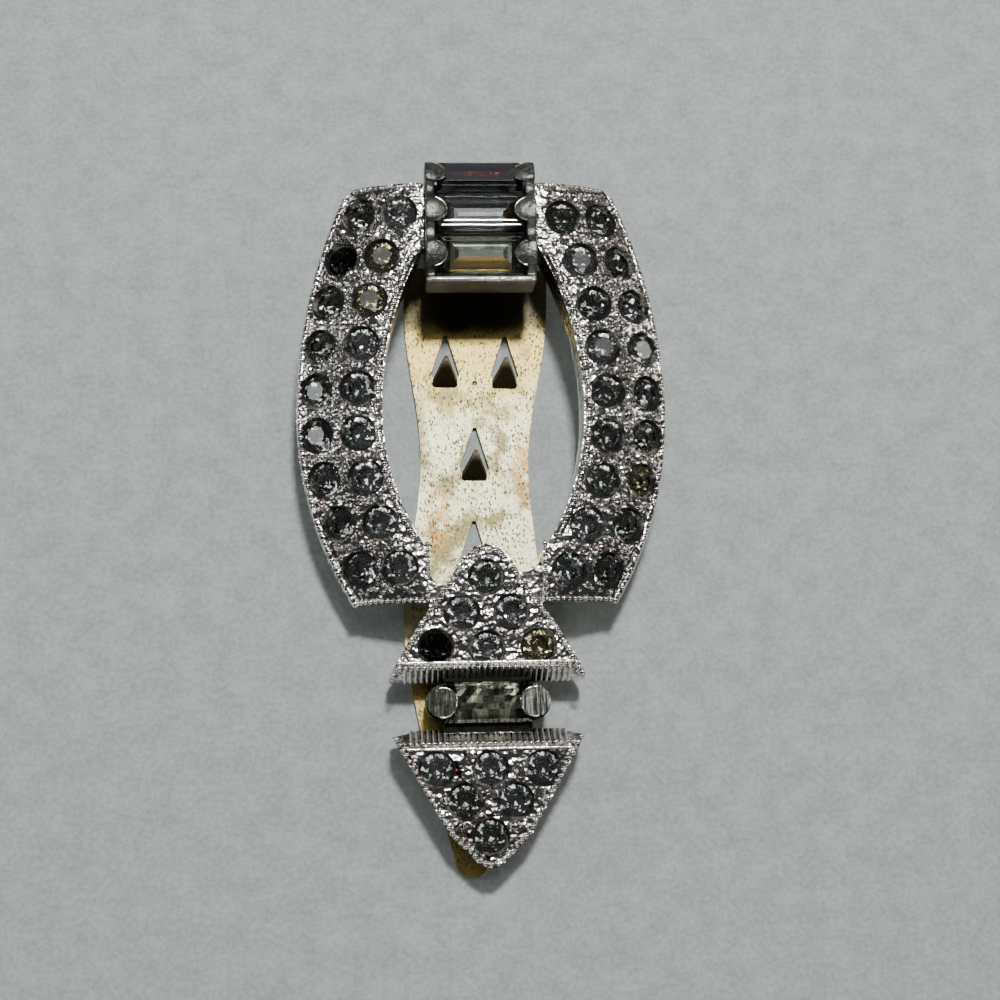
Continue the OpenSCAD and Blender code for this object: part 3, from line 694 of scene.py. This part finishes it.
def base_ribs(name, arrow, reach):
    count = int(2 * reach / RIB_PITCH) + 1
    start = -(count - 1) * RIB_PITCH / 2
    profile = [Vector((start, inward(arrow, y), z)) for y, z in RIB_PROFILE]
    return rib.grow(name, path_mesh(name + "_profile", [profile]),
                    Pitch=RIB_PITCH, Count=count, Width=RIB_WIDTH, Material=rib_metal)


def base_line(arrow, reach, inset, height):
    return [Vector((x, inward(arrow, inset), height)) for x in spread(-reach, reach, 20)]


rib = rib_tree()
upper_ribs, lower_ribs = base_ribs("ribs_upper", UPPER, 5.9), base_ribs("ribs_lower", LOWER, 5.6)
rib_beads = beads("milgrain_bases", [base_line(UPPER, 6.2, 0.94, 2.86), base_line(LOWER, 5.9, 0.94, 2.86)],
                  0.42, 0.2)
base_lines = raised_lines("lines_arrowheads", [base_line(UPPER, 6.0, 1.3, 2.94),
                                               base_line(LOWER, 5.7, 1.3, 2.94)], 0.12)

# %% [markdown]
# A round stone has a table and twenty-four facets on its crown, a thin girdle and a cone of facets
# below. It could be a cylinder with a bevel, but the sparkle needs real facets. A face attribute marks
# the cone, so that the tree can give it the foil.

# %% One round stone
STONE_R = 1.15


def circle(count, radius, height):
    """Points on a level circle."""
    turns = [2 * math.pi * i / count for i in range(count)]
    return [(radius * math.cos(a), radius * math.sin(a), height) for a in turns]


def round_stone():
    """A round brilliant with its girdle at the seat's depth, in millimetres."""
    points = (circle(8, STONE_R * 0.6, 0.1) + circle(16, STONE_R, -0.36) + circle(16, STONE_R, -0.46)
              + circle(8, STONE_R * 0.45, -1.0) + [(0, 0, -1.44)])
    table, girdle, under, cone, tip = 0, 8, 24, 40, 48
    faces = [[table + i for i in range(8)]]
    for i in range(8):
        j = (i + 1) % 8
        faces.append([table + i, girdle + 2 * i, girdle + 2 * i + 1])
        faces.append([table + i, girdle + 2 * i + 1, table + j])
        faces.append([table + j, girdle + 2 * i + 1, girdle + (2 * i + 2) % 16])
    for i in range(16):
        faces.append([girdle + i, under + i, under + (i + 1) % 16, girdle + (i + 1) % 16])
    crown_faces = len(faces)
    for i in range(8):
        j = (i + 1) % 8
        faces.append([under + 2 * i, cone + i, under + 2 * i + 1])
        faces.append([under + 2 * i + 1, cone + i, cone + j])
        faces.append([under + 2 * i + 1, cone + j, under + (2 * i + 2) % 16])
        faces.append([cone + i, tip, cone + j])
    mesh = new_mesh("round_stone", points, faces=faces)
    mark = mesh.attributes.new("foil", "FLOAT", "FACE")
    for item in mark.data[crown_faces:]:
        item.value = 1.0
    return mesh


stone_shape = keep("round_stone_shape", round_stone())
print("round stone faces:", len(stone_shape.data.polygons))

# %% [markdown]
# Stones go on points. Each point carries the direction the stone faces and its tint. The tree turns the
# stone to that direction, gives it a random twist from a fixed seed, and tips it a hair, because no two
# stones are set alike.

# %% Stone tree
def setting_tree():
    g = Graph("set_stones", Stone="Object", Glass="Material", Foil="Material", Seed="Int", Tip="Float")
    shape = g.node("GeometryNodeObjectInfo", None, {"Object": g.inputs["Stone"]}, out="Geometry")
    facing = g.node("GeometryNodeInputNamedAttribute", {"data_type": "FLOAT_VECTOR"}, {"Name": "facing"})
    square = g.node("FunctionNodeAlignEulerToVector", {"axis": "Z"}, {"Vector": facing})
    low = g.node("ShaderNodeMath", {"operation": "MULTIPLY"}, {0: g.inputs["Tip"], 1: -1.0})
    little = g.node("ShaderNodeCombineXYZ", None, {
        0: g.chance(low, g.inputs["Tip"], 11), 1: g.chance(low, g.inputs["Tip"], 12),
        2: g.chance(0.0, 6.283, g.inputs["Seed"])})
    stones = g.copies(g.inputs["Geometry"], shape, Rotation=square)
    stones = g.node("GeometryNodeRotateInstances", None, {"Instances": stones, "Rotation": little})
    mark = g.node("GeometryNodeInputNamedAttribute", {"data_type": "FLOAT"}, {"Name": "foil"})
    return g.close(stones, Glass=True, Foil=mark)


UP = Vector((0, 0, 1))
LEFT_TINTS = "sc" "dy" "vy" "vc" "sg" "sc" "gc" "sc" "gc"
RIGHT_TINTS = "ss" "sc" "gs" "gc" "gs" "vs" "yv" "sc" "sg"
ARROW_STONES = (("upper", UPPER_SPOTS, "vccdcy"), ("lower", LOWER_SPOTS, "ccgsgs"))
stone_tree = setting_tree()


def set_stones(name, spots, tints, seed):
    source = spots_mesh(name + "_spots", [s[0] for s in spots], facing=[tuple(s[1]) for s in spots],
                        tint=[colour(*TINTS[t]) for t in tints])
    return stone_tree.grow(name, source, Stone=stone_shape, Glass=paste_glass, Foil=stone_foil,
                           Seed=seed, Tip=0.05)


stones = {
    "left_arm_stones": set_stones("stones_left_arm", ARM_SPOTS[-1], LEFT_TINTS, 21),
    "right_arm_stones": set_stones("stones_right_arm", ARM_SPOTS[1], RIGHT_TINTS, 22),
}
for label, spots, tints in ARROW_STONES:
    for i, (spot, tint) in enumerate(zip(spots, tints)):
        stones[f"{label}_stone_{i + 1}"] = set_stones(f"stone_{label}_{i + 1}", [(spot, UP)], tint, 30 + i)
bpy.data.objects.remove(stone_shape)

# %% [markdown]
# A step-cut stone is a bar with terraces of long facets. Its crown has two steps, each with a narrow
# facet that flashes when it catches the light. The foil under it is stepped too and throws the light
# back in lines. Under the stone in the cup it is also cut across, into rows of small facets.

# %% Step-cut stones
BAR_L, BAR_W = 6.2, 2.86
GIRDLE = [(0.0, 0.0, -0.55), (0.0, 0.0, -0.67)]
CORNERS = ((1, 1), (-1, 1), (-1, -1), (1, -1))


def ring_points(rings):
    """Four corners for each ring, from its insets along and across the bar and its height."""
    return [(sx * (BAR_L / 2 - in_x), sy * (BAR_W / 2 - in_y), height)
            for in_x, in_y, height in rings for sx, sy in CORNERS]


def ring_faces(first, last):
    return [[4 * k + i, 4 * k + 4 + i, 4 * k + 4 + (i + 1) % 4, 4 * k + (i + 1) % 4]
            for k in range(first, last) for i in range(4)]


def bar_mesh(name, points, faces, crown_faces, tint, place, back=bar_foil):
    """Makes a stone's mesh: its first faces are glass, the rest is foil, tinted facet by facet."""
    mesh = new_mesh(name, points, faces=faces)
    mesh.materials.append(paste_glass)
    mesh.materials.append(back)
    layer = mesh.attributes.new("tint", "FLOAT_COLOR", "FACE")
    for i, (item, facet) in enumerate(zip(layer.data, mesh.polygons)):
        facet.material_index = 1 if i >= crown_faces else 0
        item.color = colour(*tint(*facet.center))
    return keep(name, mesh, place)


def crown(edge):
    """The steps of a crown; the narrow facets lean by the angle that catches the main light."""
    slope = math.tan(math.radians(edge))
    return [(0.62, 0.6, 0.0), (0.55, 0.53, -0.07 * slope), (0.36, 0.33, -0.2),
            (0.3, 0.27, -0.2 - 0.06 * slope), (0.1, 0.08, -0.44)]


def step_stone(name, place, edge, back_steps, tint):
    """A step-cut stone, its table at height 0 and its length along x."""
    front = crown(edge) + GIRDLE
    rings = front + back_steps
    last = 4 * (len(rings) - 1)
    faces = [[0, 1, 2, 3]] + ring_faces(0, len(rings) - 1) + [[last + 3, last + 2, last + 1, last]]
    return bar_mesh(name, ring_points(rings), faces, 1 + 4 * (len(front) - 1), tint, place)


def checker_stone(name, place, rows, cuts, tint):
    """A step-cut stone whose back is cut across into rows of small facets."""
    points = ring_points([(0.5, 0.5, 0.0), (0.25, 0.25, -0.2)] + GIRDLE)
    faces = [[0, 1, 2, 3]] + ring_faces(0, 3)
    crown_faces = len(faces)
    grid, pick = {}, random.Random(6)
    for i, x in enumerate(spread(-BAR_L / 2, BAR_L / 2, cuts)):
        for j, y in enumerate(spread(-BAR_W / 2, BAR_W / 2, rows)):
            if i in (0, cuts) and j in (0, rows):
                grid[i, j] = 12 + CORNERS.index((1 if i else -1, 1 if j else -1))
                continue
            height = GIRDLE[1][2]
            if 0 < i < cuts and 0 < j < rows:
                edge = min(1 - abs(x) / (BAR_L / 2), (1 - abs(y) / (BAR_W / 2)) * 0.55)
                height -= 0.85 * min(1.0, 0.55 + edge * 1.6) - pick.uniform(0.0, 0.06)
            grid[i, j] = len(points)
            points.append((x, y, height))
    for i in range(cuts):
        for j in range(rows):
            faces.append([grid[i, j], grid[i, j + 1], grid[i + 1, j + 1], grid[i + 1, j]])
    return bar_mesh(name, points, faces, crown_faces, tint, place, cup_foil)


print("step-cut stone, mm:", BAR_L, "by", BAR_W)

# %% [markdown]
# The tints follow the picture: the stone nearest the hinge is smoky with a painted red sheen, the next
# one is clear with a brown corner, the third is green and gold, and on these two alternate steps are tinted
# bright and dark to paint lines of light. The one in the cup has rows of painted green glints.
# Three of them follow the curve of the channel, so the place of each is a turn about one axis.

# %% Four step-cut stones
CHANNEL_V, CHANNEL_W, TABLE_R = 20.4, -4.2, 9.2
STONE_TURNS = (-12, 8, 28)
CUP_STONE = (0, -13.25, 3.15)


def over_bar(turn):
    """The place of a stone over the bar, turned about the channel's axis."""
    return (ORNAMENT @ Matrix.Translation((0, CHANNEL_V, CHANNEL_W))
            @ Matrix.Rotation(-math.radians(turn), 4, "X") @ Matrix.Translation((0, 0, TABLE_R)))


def smoky(x, y, z):
    # The red on the deep back facets is a painted red sheen.
    if y > 0.3 and z < -1.1:
        return (0.0026, 0.0006, 0.0004)
    return (0.75, 0.76, 0.80) if y < -0.2 else (0.10, 0.095, 0.10)


def clear_bar(x, y, z):
    if x > 0.8 and z < -0.7:
        return (0.16, 0.11, 0.07)
    # Alternate steps tinted bright and dark paint lines of light: painted highlights.
    return (1.0, 1.0, 1.0) if round(-z * 10) % 2 else (0.26, 0.27, 0.29)


def gold_bar(x, y, z):
    if y < -0.2 and z < -1.1:
        return (0.98, 0.66, 0.26)
    # Alternate steps tinted bright and dark paint lines of light: painted highlights.
    return (0.86, 0.92, 0.78) if round(-z * 10) % 2 else (0.22, 0.25, 0.19)


def green_rows(x, y, z):
    # Painted glints in rows, brightest in the middle, with painted shade at the ends and along the edge
    # toward the point.
    glint = math.sin(x * 12.7 + y * 31.3) * 0.5 + 0.5
    painted_glints_and_shade = (0.15 + 0.85 * glint) * max(0.1, 1 - abs((x - 0.1) / 2.6) ** 3) * (0.05 if y < -0.95 else 1.0)
    return (0.88 * painted_glints_and_shade, 0.92 * painted_glints_and_shade, 0.66 * painted_glints_and_shade)


SMOKY_BACK = [(0.5, 0.4, -1.05), (1.0, 0.75, -1.3), (1.7, 1.15, -1.42)]
CLEAR_BACK = [(0.3, 0.22, -0.93), (0.6, 0.46, -1.16), (0.9, 0.72, -1.34), (1.2, 1.0, -1.45),
              (1.5, 1.28, -1.5)]
GOLD_BACK = [(0.3, 0.2, -0.9), (0.6, 0.42, -1.1), (0.9, 0.66, -1.27), (1.2, 0.92, -1.4), (1.5, 1.2, -1.48)]
stones["baguette_top_1"] = step_stone("step_stone_1", over_bar(STONE_TURNS[2]), 24, SMOKY_BACK, smoky)
stones["baguette_top_2"] = step_stone("step_stone_2", over_bar(STONE_TURNS[1]), 6.6, CLEAR_BACK, clear_bar)
stones["baguette_top_3"] = step_stone("step_stone_3", over_bar(STONE_TURNS[0]), 11.7, GOLD_BACK, gold_bar)
stones["baguette_lower"] = checker_stone("step_stone_4", ORNAMENT @ Matrix.Translation(CUP_STONE),
                                         6, 16, green_rows)
print("pieces of stone:", len(stones))

# %% [markdown]
# Cement and dirt fill the gap between each stone and its seat, and show as a dark ring; the shade down in
# that gap is painted into the ring as well. A texture could paint it, but a real ring shades itself. The
# tree that sets the stones sets the rings too, with a short tube as the shape.

# %% Dark rings in the seats
RING_PROFILE = [(1.11, -0.9), (1.328, -0.9), (1.328, -0.05), (1.28, -0.05), (1.2, -0.28), (1.11, -0.36)]


def ring_mesh(profile, sides):
    """A ring, from its cross section as pairs of radius and height."""
    points = [spot for radius, height in profile for spot in circle(sides, radius, height)]
    faces = []
    for k in range(len(profile)):
        a, b = k * sides, ((k + 1) % len(profile)) * sides
        for i in range(sides):
            j = (i + 1) % sides
            faces.append([a + i, a + j, b + j, b + i])
    return new_mesh("ring", points, faces=faces)


ring_shape = keep("ring_shape", ring_mesh(RING_PROFILE, 20))
seats = ARM_SPOTS[-1] + ARM_SPOTS[1] + [(s, UP) for s in UPPER_SPOTS + LOWER_SPOTS]
cement_rings = stone_tree.grow(
    "cement_rings", spots_mesh("ring_spots", [s[0] for s in seats], facing=[tuple(s[1]) for s in seats]),
    Stone=ring_shape, Glass=cement_and_seat_shade, Foil=cement_and_seat_shade, Seed=1, Tip=0.0)
bpy.data.objects.remove(ring_shape)

# %% [markdown]
# Between the stones the metal was raised into grains, large ones where four stones meet and small ones
# in the gaps. The small ones are strewn with a fixed seed where no seat and no other grain is near.

# %% Small grains between the stones
SEAT_R = 1.33


def grain_spots(side, count, seed):
    """Spots on an arm, each with a radius."""
    pick = random.Random(seed)
    taken = [s[0] for s in ARM_SPOTS[side]]
    found = []
    for _ in range(count * 40):
        v = pick.uniform(FRAME_FOOT + 0.7, FRAME_TOP - 0.7)
        inset = pick.uniform(0.85, 5.9)
        size = pick.uniform(0.13, 0.25)
        spot = on_arm(side, v, inset, size * 0.25)[0]
        if v < 0.5 and abs(spot.x) < 6.2 + (v < -2.0) * 0.3:
            continue
        if abs(spot.x) < 5.0 or any((spot - s).length < SEAT_R + size * 0.6 for s in taken):
            continue
        if any((spot - f[0]).length < (size + f[1]) * 0.85 for f in found):
            continue
        found.append((spot, size))
        if len(found) == count:
            break
    return found


def grain_tree():
    g = Graph("grains", Material="Material")
    size = g.node("GeometryNodeInputNamedAttribute", {"data_type": "FLOAT_VECTOR"}, {"Name": "size"})
    ball = g.node("GeometryNodeMeshIcoSphere", None, {"Radius": 1.0, "Subdivisions": 2})
    grains = g.copies(g.inputs["Geometry"], ball, Rotation=g.chance((0, 0, 0), ANY_TURN, 8), Scale=size)
    return g.close(grains)


grain = grain_tree()


def grains(name, spots):
    """Grains on spots, each a pair of a place and a radius."""
    source = spots_mesh(name + "_spots", [s[0] for s in spots], size=[(s[1], s[1], s[1]) for s in spots])
    return grain.grow(name, source, Material=bead_metal)


small_grains = grains("grains_arms", grain_spots(-1, 230, 4) + grain_spots(1, 230, 9))

# %% [markdown]
# The largest grains are round domes. On the arms they follow the rows of stones. On the arrowheads they
# were pushed up where there was room, so their places are written down one by one. The same tree makes
# them all.

# %% Domes
UPPER_DOMES = [(1.59, -5.15, 0.42), (0.12, -6.32, 0.42), (-1.58, -8.83, 0.48), (1.72, -8.88, 0.48),
               (1.29, -7.33, 0.26), (-3.6, -7.6, 0.3), (3.6, -7.7, 0.3), (-1.5, -5.1, 0.3)]
LOWER_DOMES = [(-1.24, -16.77, 0.42), (-1.59, -18.25, 0.5), (2.2, -18.11, 0.5), (0.2, -19.54, 0.42),
               (0.39, -20.7, 0.42), (-1.6, -21.91, 0.42), (1.65, -21.78, 0.42), (-1.35, -23.06, 0.3),
               (3.4, -19.51, 0.4), (-3.11, -19.89, 0.4)]
domes = [(Vector((x, y, FIELD + 0.02)), r) for x, y, r in UPPER_DOMES + LOWER_DOMES]
for side in (-1, 1):
    for row in range(ROWS - 1):
        domes.append((on_arm(side, row_v(side, row) - 1.64, 4.95)[0], 0.46))
        domes.append((on_arm(side, row_v(side, row) - 1.6, 0.95, -0.05)[0], 0.3))
large_grains = grains("grains_large", domes)

# %% [markdown]
# The channel over the bar was bent from one strip of metal, and its walls were pressed down over the
# ends of the stones in soft lobes. The solid shows flat round tabs there. Clay does it better: the
# walls, the floor and one squashed ball for each lobe are laid into each other, and a voxel remesh fuses
# them into one skin.

# %% Clay for the channel
CHANNEL_R = TABLE_R + 0.06
CHANNEL_OUT, WALL_IN = 3.95, 3.26
TROUGH_R, TROUGH_HALF = 7.6, 3.4
LOBE, LOBE_AT, LOBE_TILT = (1.12, 0.92, 0.28), 3.55, -7
LOBE_RINGS, LOBE_SIDES = 12, 24
SADDLE = [(25.7, 0.9), (24.12, 0.9), (24.12, 2.27), (19.48, 2.27), (19.48, 0.9), (16.5, 0.9)]
TROUGH_FOOT = [(25.4, 2.27), (16.9, 2.27)]
FRONT = [(16.5, 0.9), (16.5, 4.22), (16.98, 4.3), (16.98, 0.9)]


def round_over(turn, radius):
    """A spot in v and w on an arc over the bar."""
    a = math.radians(turn)
    return (CHANNEL_V + radius * math.sin(a), CHANNEL_W + radius * math.cos(a))


def wall_radius(turn):
    """The walls dip between the lobes."""
    far = min(abs(turn - t) for t in STONE_TURNS)
    dip = min(1.0, max(0.0, (far - 4.5) / 4.5))
    return CHANNEL_R + 0.06 - 0.42 * dip * dip * (3 - 2 * dip)


def add_slab(points, faces, outline, low, high):
    """Adds an outline in v and w, drawn out along x, as a closed block."""
    first, count = len(points), len(outline)
    points += [(x, v, w) for x in (low, high) for v, w in outline]
    faces.append([first + i for i in range(count)])
    faces.append([first + count + i for i in reversed(range(count))])
    for i in range(count):
        j = (i + 1) % count
        faces.append([first + j, first + i, first + count + i, first + count + j])


def lobe_place(side, turn):
    v, w = round_over(turn, CHANNEL_R - 0.02)
    return (Matrix.Translation((side * LOBE_AT, v, w)) @ Matrix.Rotation(-math.radians(turn), 4, "X")
            @ Matrix.Rotation(math.radians(side * LOBE_TILT), 4, "Y"))


def add_lobe(points, faces, place):
    """Adds a squashed ball, cut off flush with the channel's sides."""
    first, limit = len(points), CHANNEL_OUT + 0.01
    for i in range(1, LOBE_RINGS):
        for j in range(LOBE_SIDES):
            a, b = math.pi * i / LOBE_RINGS, 2 * math.pi * j / LOBE_SIDES
            spot = place @ Vector((LOBE[0] * math.sin(a) * math.cos(b), LOBE[1] * math.sin(a) * math.sin(b),
                                   LOBE[2] * math.cos(a)))
            points.append((max(-limit, min(limit, spot.x)), spot.y, spot.z))
    for i in range(LOBE_RINGS - 2):
        a, b = first + LOBE_SIDES * i, first + LOBE_SIDES * (i + 1)
        for j in range(LOBE_SIDES):
            k = (j + 1) % LOBE_SIDES
            faces.append([a + j, b + j, b + k, a + k])
    last = first + LOBE_SIDES * (LOBE_RINGS - 2)
    faces.append([first + j for j in range(LOBE_SIDES)])
    faces.append([last + j for j in reversed(range(LOBE_SIDES))])


def channel_clay():
    points, faces = [], []
    top = [round_over(t, wall_radius(t)) for t in spread(-24.8, 34.8, 60)]
    for side in (-1, 1):
        add_slab(points, faces, top + SADDLE, *sorted((side * WALL_IN, side * CHANNEL_OUT)))
    trough = [round_over(t, TROUGH_R) for t in spread(-27, 41, 20)]
    add_slab(points, faces, trough + TROUGH_FOOT, -TROUGH_HALF, TROUGH_HALF)
    add_slab(points, faces, FRONT, -3.94, 3.94)
    for side in (-1, 1):
        for turn in STONE_TURNS:
            add_lobe(points, faces, lobe_place(side, turn))
    return new_mesh("channel", points, faces=faces)


def channel():
    """Fuses the clay, softens it and keeps its skin."""
    carrier = keep("channel_source", channel_clay())
    fuse = carrier.modifiers.new("fuse", "REMESH")
    fuse.mode, fuse.voxel_size, fuse.use_smooth_shade = "VOXEL", 0.09, True
    soften = carrier.modifiers.new("soften", "SMOOTH")
    soften.factor, soften.iterations = 0.5, 5
    skin = bake_down(carrier)
    skin.materials.append(setting_metal)
    return keep("setting_channel", skin, ORNAMENT)


setting = channel()
print("channel faces:", len(setting.data.polygons))

# %% [markdown]
# Wear leaves a bright line along every edge that a finger can reach: round the lobes, along the front
# wall of the channel and round the two end tabs of the cup. A thin wire on each edge catches the light.

# %% Bright edges of the channel and the cup
TAB_AT, TAB_R, TAB_TOP = (3.25, -13.25), 1.03, 3.55


def lobe_edge(side, turn):
    place = lobe_place(side, turn)
    return [place @ Vector((-side * LOBE[0] * math.cos(a), LOBE[1] * math.sin(a), 0.02))
            for a in [math.radians(d) for d in spread(-75, 75, 16)]]


def tab_edge(side):
    return [Vector((side * (TAB_AT[0] - TAB_R * math.cos(a)), TAB_AT[1] + TAB_R * math.sin(a), TAB_TOP))
            for a in [math.radians(d) for d in spread(-100, 100, 20)]]


front_edge = [Vector((x, 16.74, 4.27)) for x in spread(-3.55, 3.55, 24)]
setting_lines = [lobe_edge(side, t) for side in (-1, 1) for t in STONE_TURNS] + [front_edge]
cup_edges = raised_lines("cup_edges", [tab_edge(-1), tab_edge(1)], 0.065)
setting_edges = raised_lines("setting_edges", setting_lines, 0.06)

# %% [markdown]
# Now each solid gets its finish, and each new piece is tied to the body it moves with. Where a piece
# stands for a solid, the solid isn't shown.

# %% Finish and ride
for name, finish in (("casting", plated), ("top_setting", setting_metal), ("hinge_bracket", hinge_brass),
                     ("hinge_pin", hinge_brass), ("leaf", leaf_metal)):
    nodes[name].data.materials.clear()
    nodes[name].data.materials.append(finish)

white = (arm_beads, end_beads, opening_beads, arrow_beads, rib_beads, upper_ribs, lower_ribs, base_lines,
         small_grains, large_grains, cup_edges)
for piece in white:
    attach(piece, "ornament")
for piece in (setting, setting_edges):
    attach(piece, "ornament")
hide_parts("top_setting")
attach(cement_rings, "ornament")
for node, piece in stones.items():
    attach(piece, "ornament")
    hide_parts(node)
print("pieces tied:", len(white) + 3 + len(stones))

# %% [markdown]
# The clip lies on a plain pale floor. The main light is a soft box beyond the hinge end, so shadows fall
# toward the point. Metal and stones show what they reflect, so the room is kept dim and a few narrow
# lights stand round it.

# %% Floor and light
FLOOR_HALF = 3.0


def floor():
    made, shader, point = material("floor", Roughness=0.9)
    pulp = point.noise(0.5, 3.0, 0.6) * 0.4 + point.noise(2.6, 3.0, 0.7) * 0.6
    dress(shader, pulp.above(0.3, 0.7).colours(colour(0.30, 0.33, 0.32), colour(0.47, 0.51, 0.50)))
    corners = [(sx * FLOOR_HALF, sy * FLOOR_HALF, 0) for sx, sy in ((-1, -1), (1, -1), (1, 1), (-1, 1))]
    mesh = new_mesh("floor", corners, faces=[(0, 1, 2, 3)])
    mesh.materials.append(made)
    return keep("floor", mesh)


def soft_box(name, place, wide, tall, watts, tone=(1, 1, 1), aim=(0, 0, 0)):
    """A flat light at a place, with its width, height, power and tone, turned to an aim."""
    lamp = bpy.data.lights.new(name, "AREA")
    lamp.shape, lamp.size, lamp.size_y = "RECTANGLE", wide, tall
    lamp.energy, lamp.color = watts, tone
    light = bpy.data.objects.new(name, lamp)
    direction = Vector(aim) - Vector(place)
    light.matrix_world = Matrix.Translation(place) @ direction.to_track_quat("-Z", "Y").to_matrix().to_4x4()
    collection.objects.link(light)


ground = floor()
soft_box("key", (0.012, 0.0777, 0.232), 0.024, 0.02, 0.60)
soft_box("above", (0.0, 0.15, 0.5), 0.36, 0.14, 0.33)
soft_box("left", (-0.36, 0.05, 0.16), 0.05, 0.30, 0.28, (0.92, 0.96, 1.0))
soft_box("right", (0.36, 0.12, 0.16), 0.05, 0.30, 0.28, (1.0, 0.95, 0.9))
soft_box("front", (0.04, -0.30, 0.14), 0.26, 0.03, 0.14)
soft_box("back", (0.025, 0.345, 0.138), 0.10, 0.02, 0.005, (0.88, 0.84, 1.0), (0, 0.02, 0))
world = bpy.data.worlds.new("room")
world.use_nodes = True
room = world.node_tree.nodes["Background"].inputs
room["Color"].default_value = colour(0.30, 0.31, 0.33)
room["Strength"].default_value = 0.11
bpy.context.scene.world = world
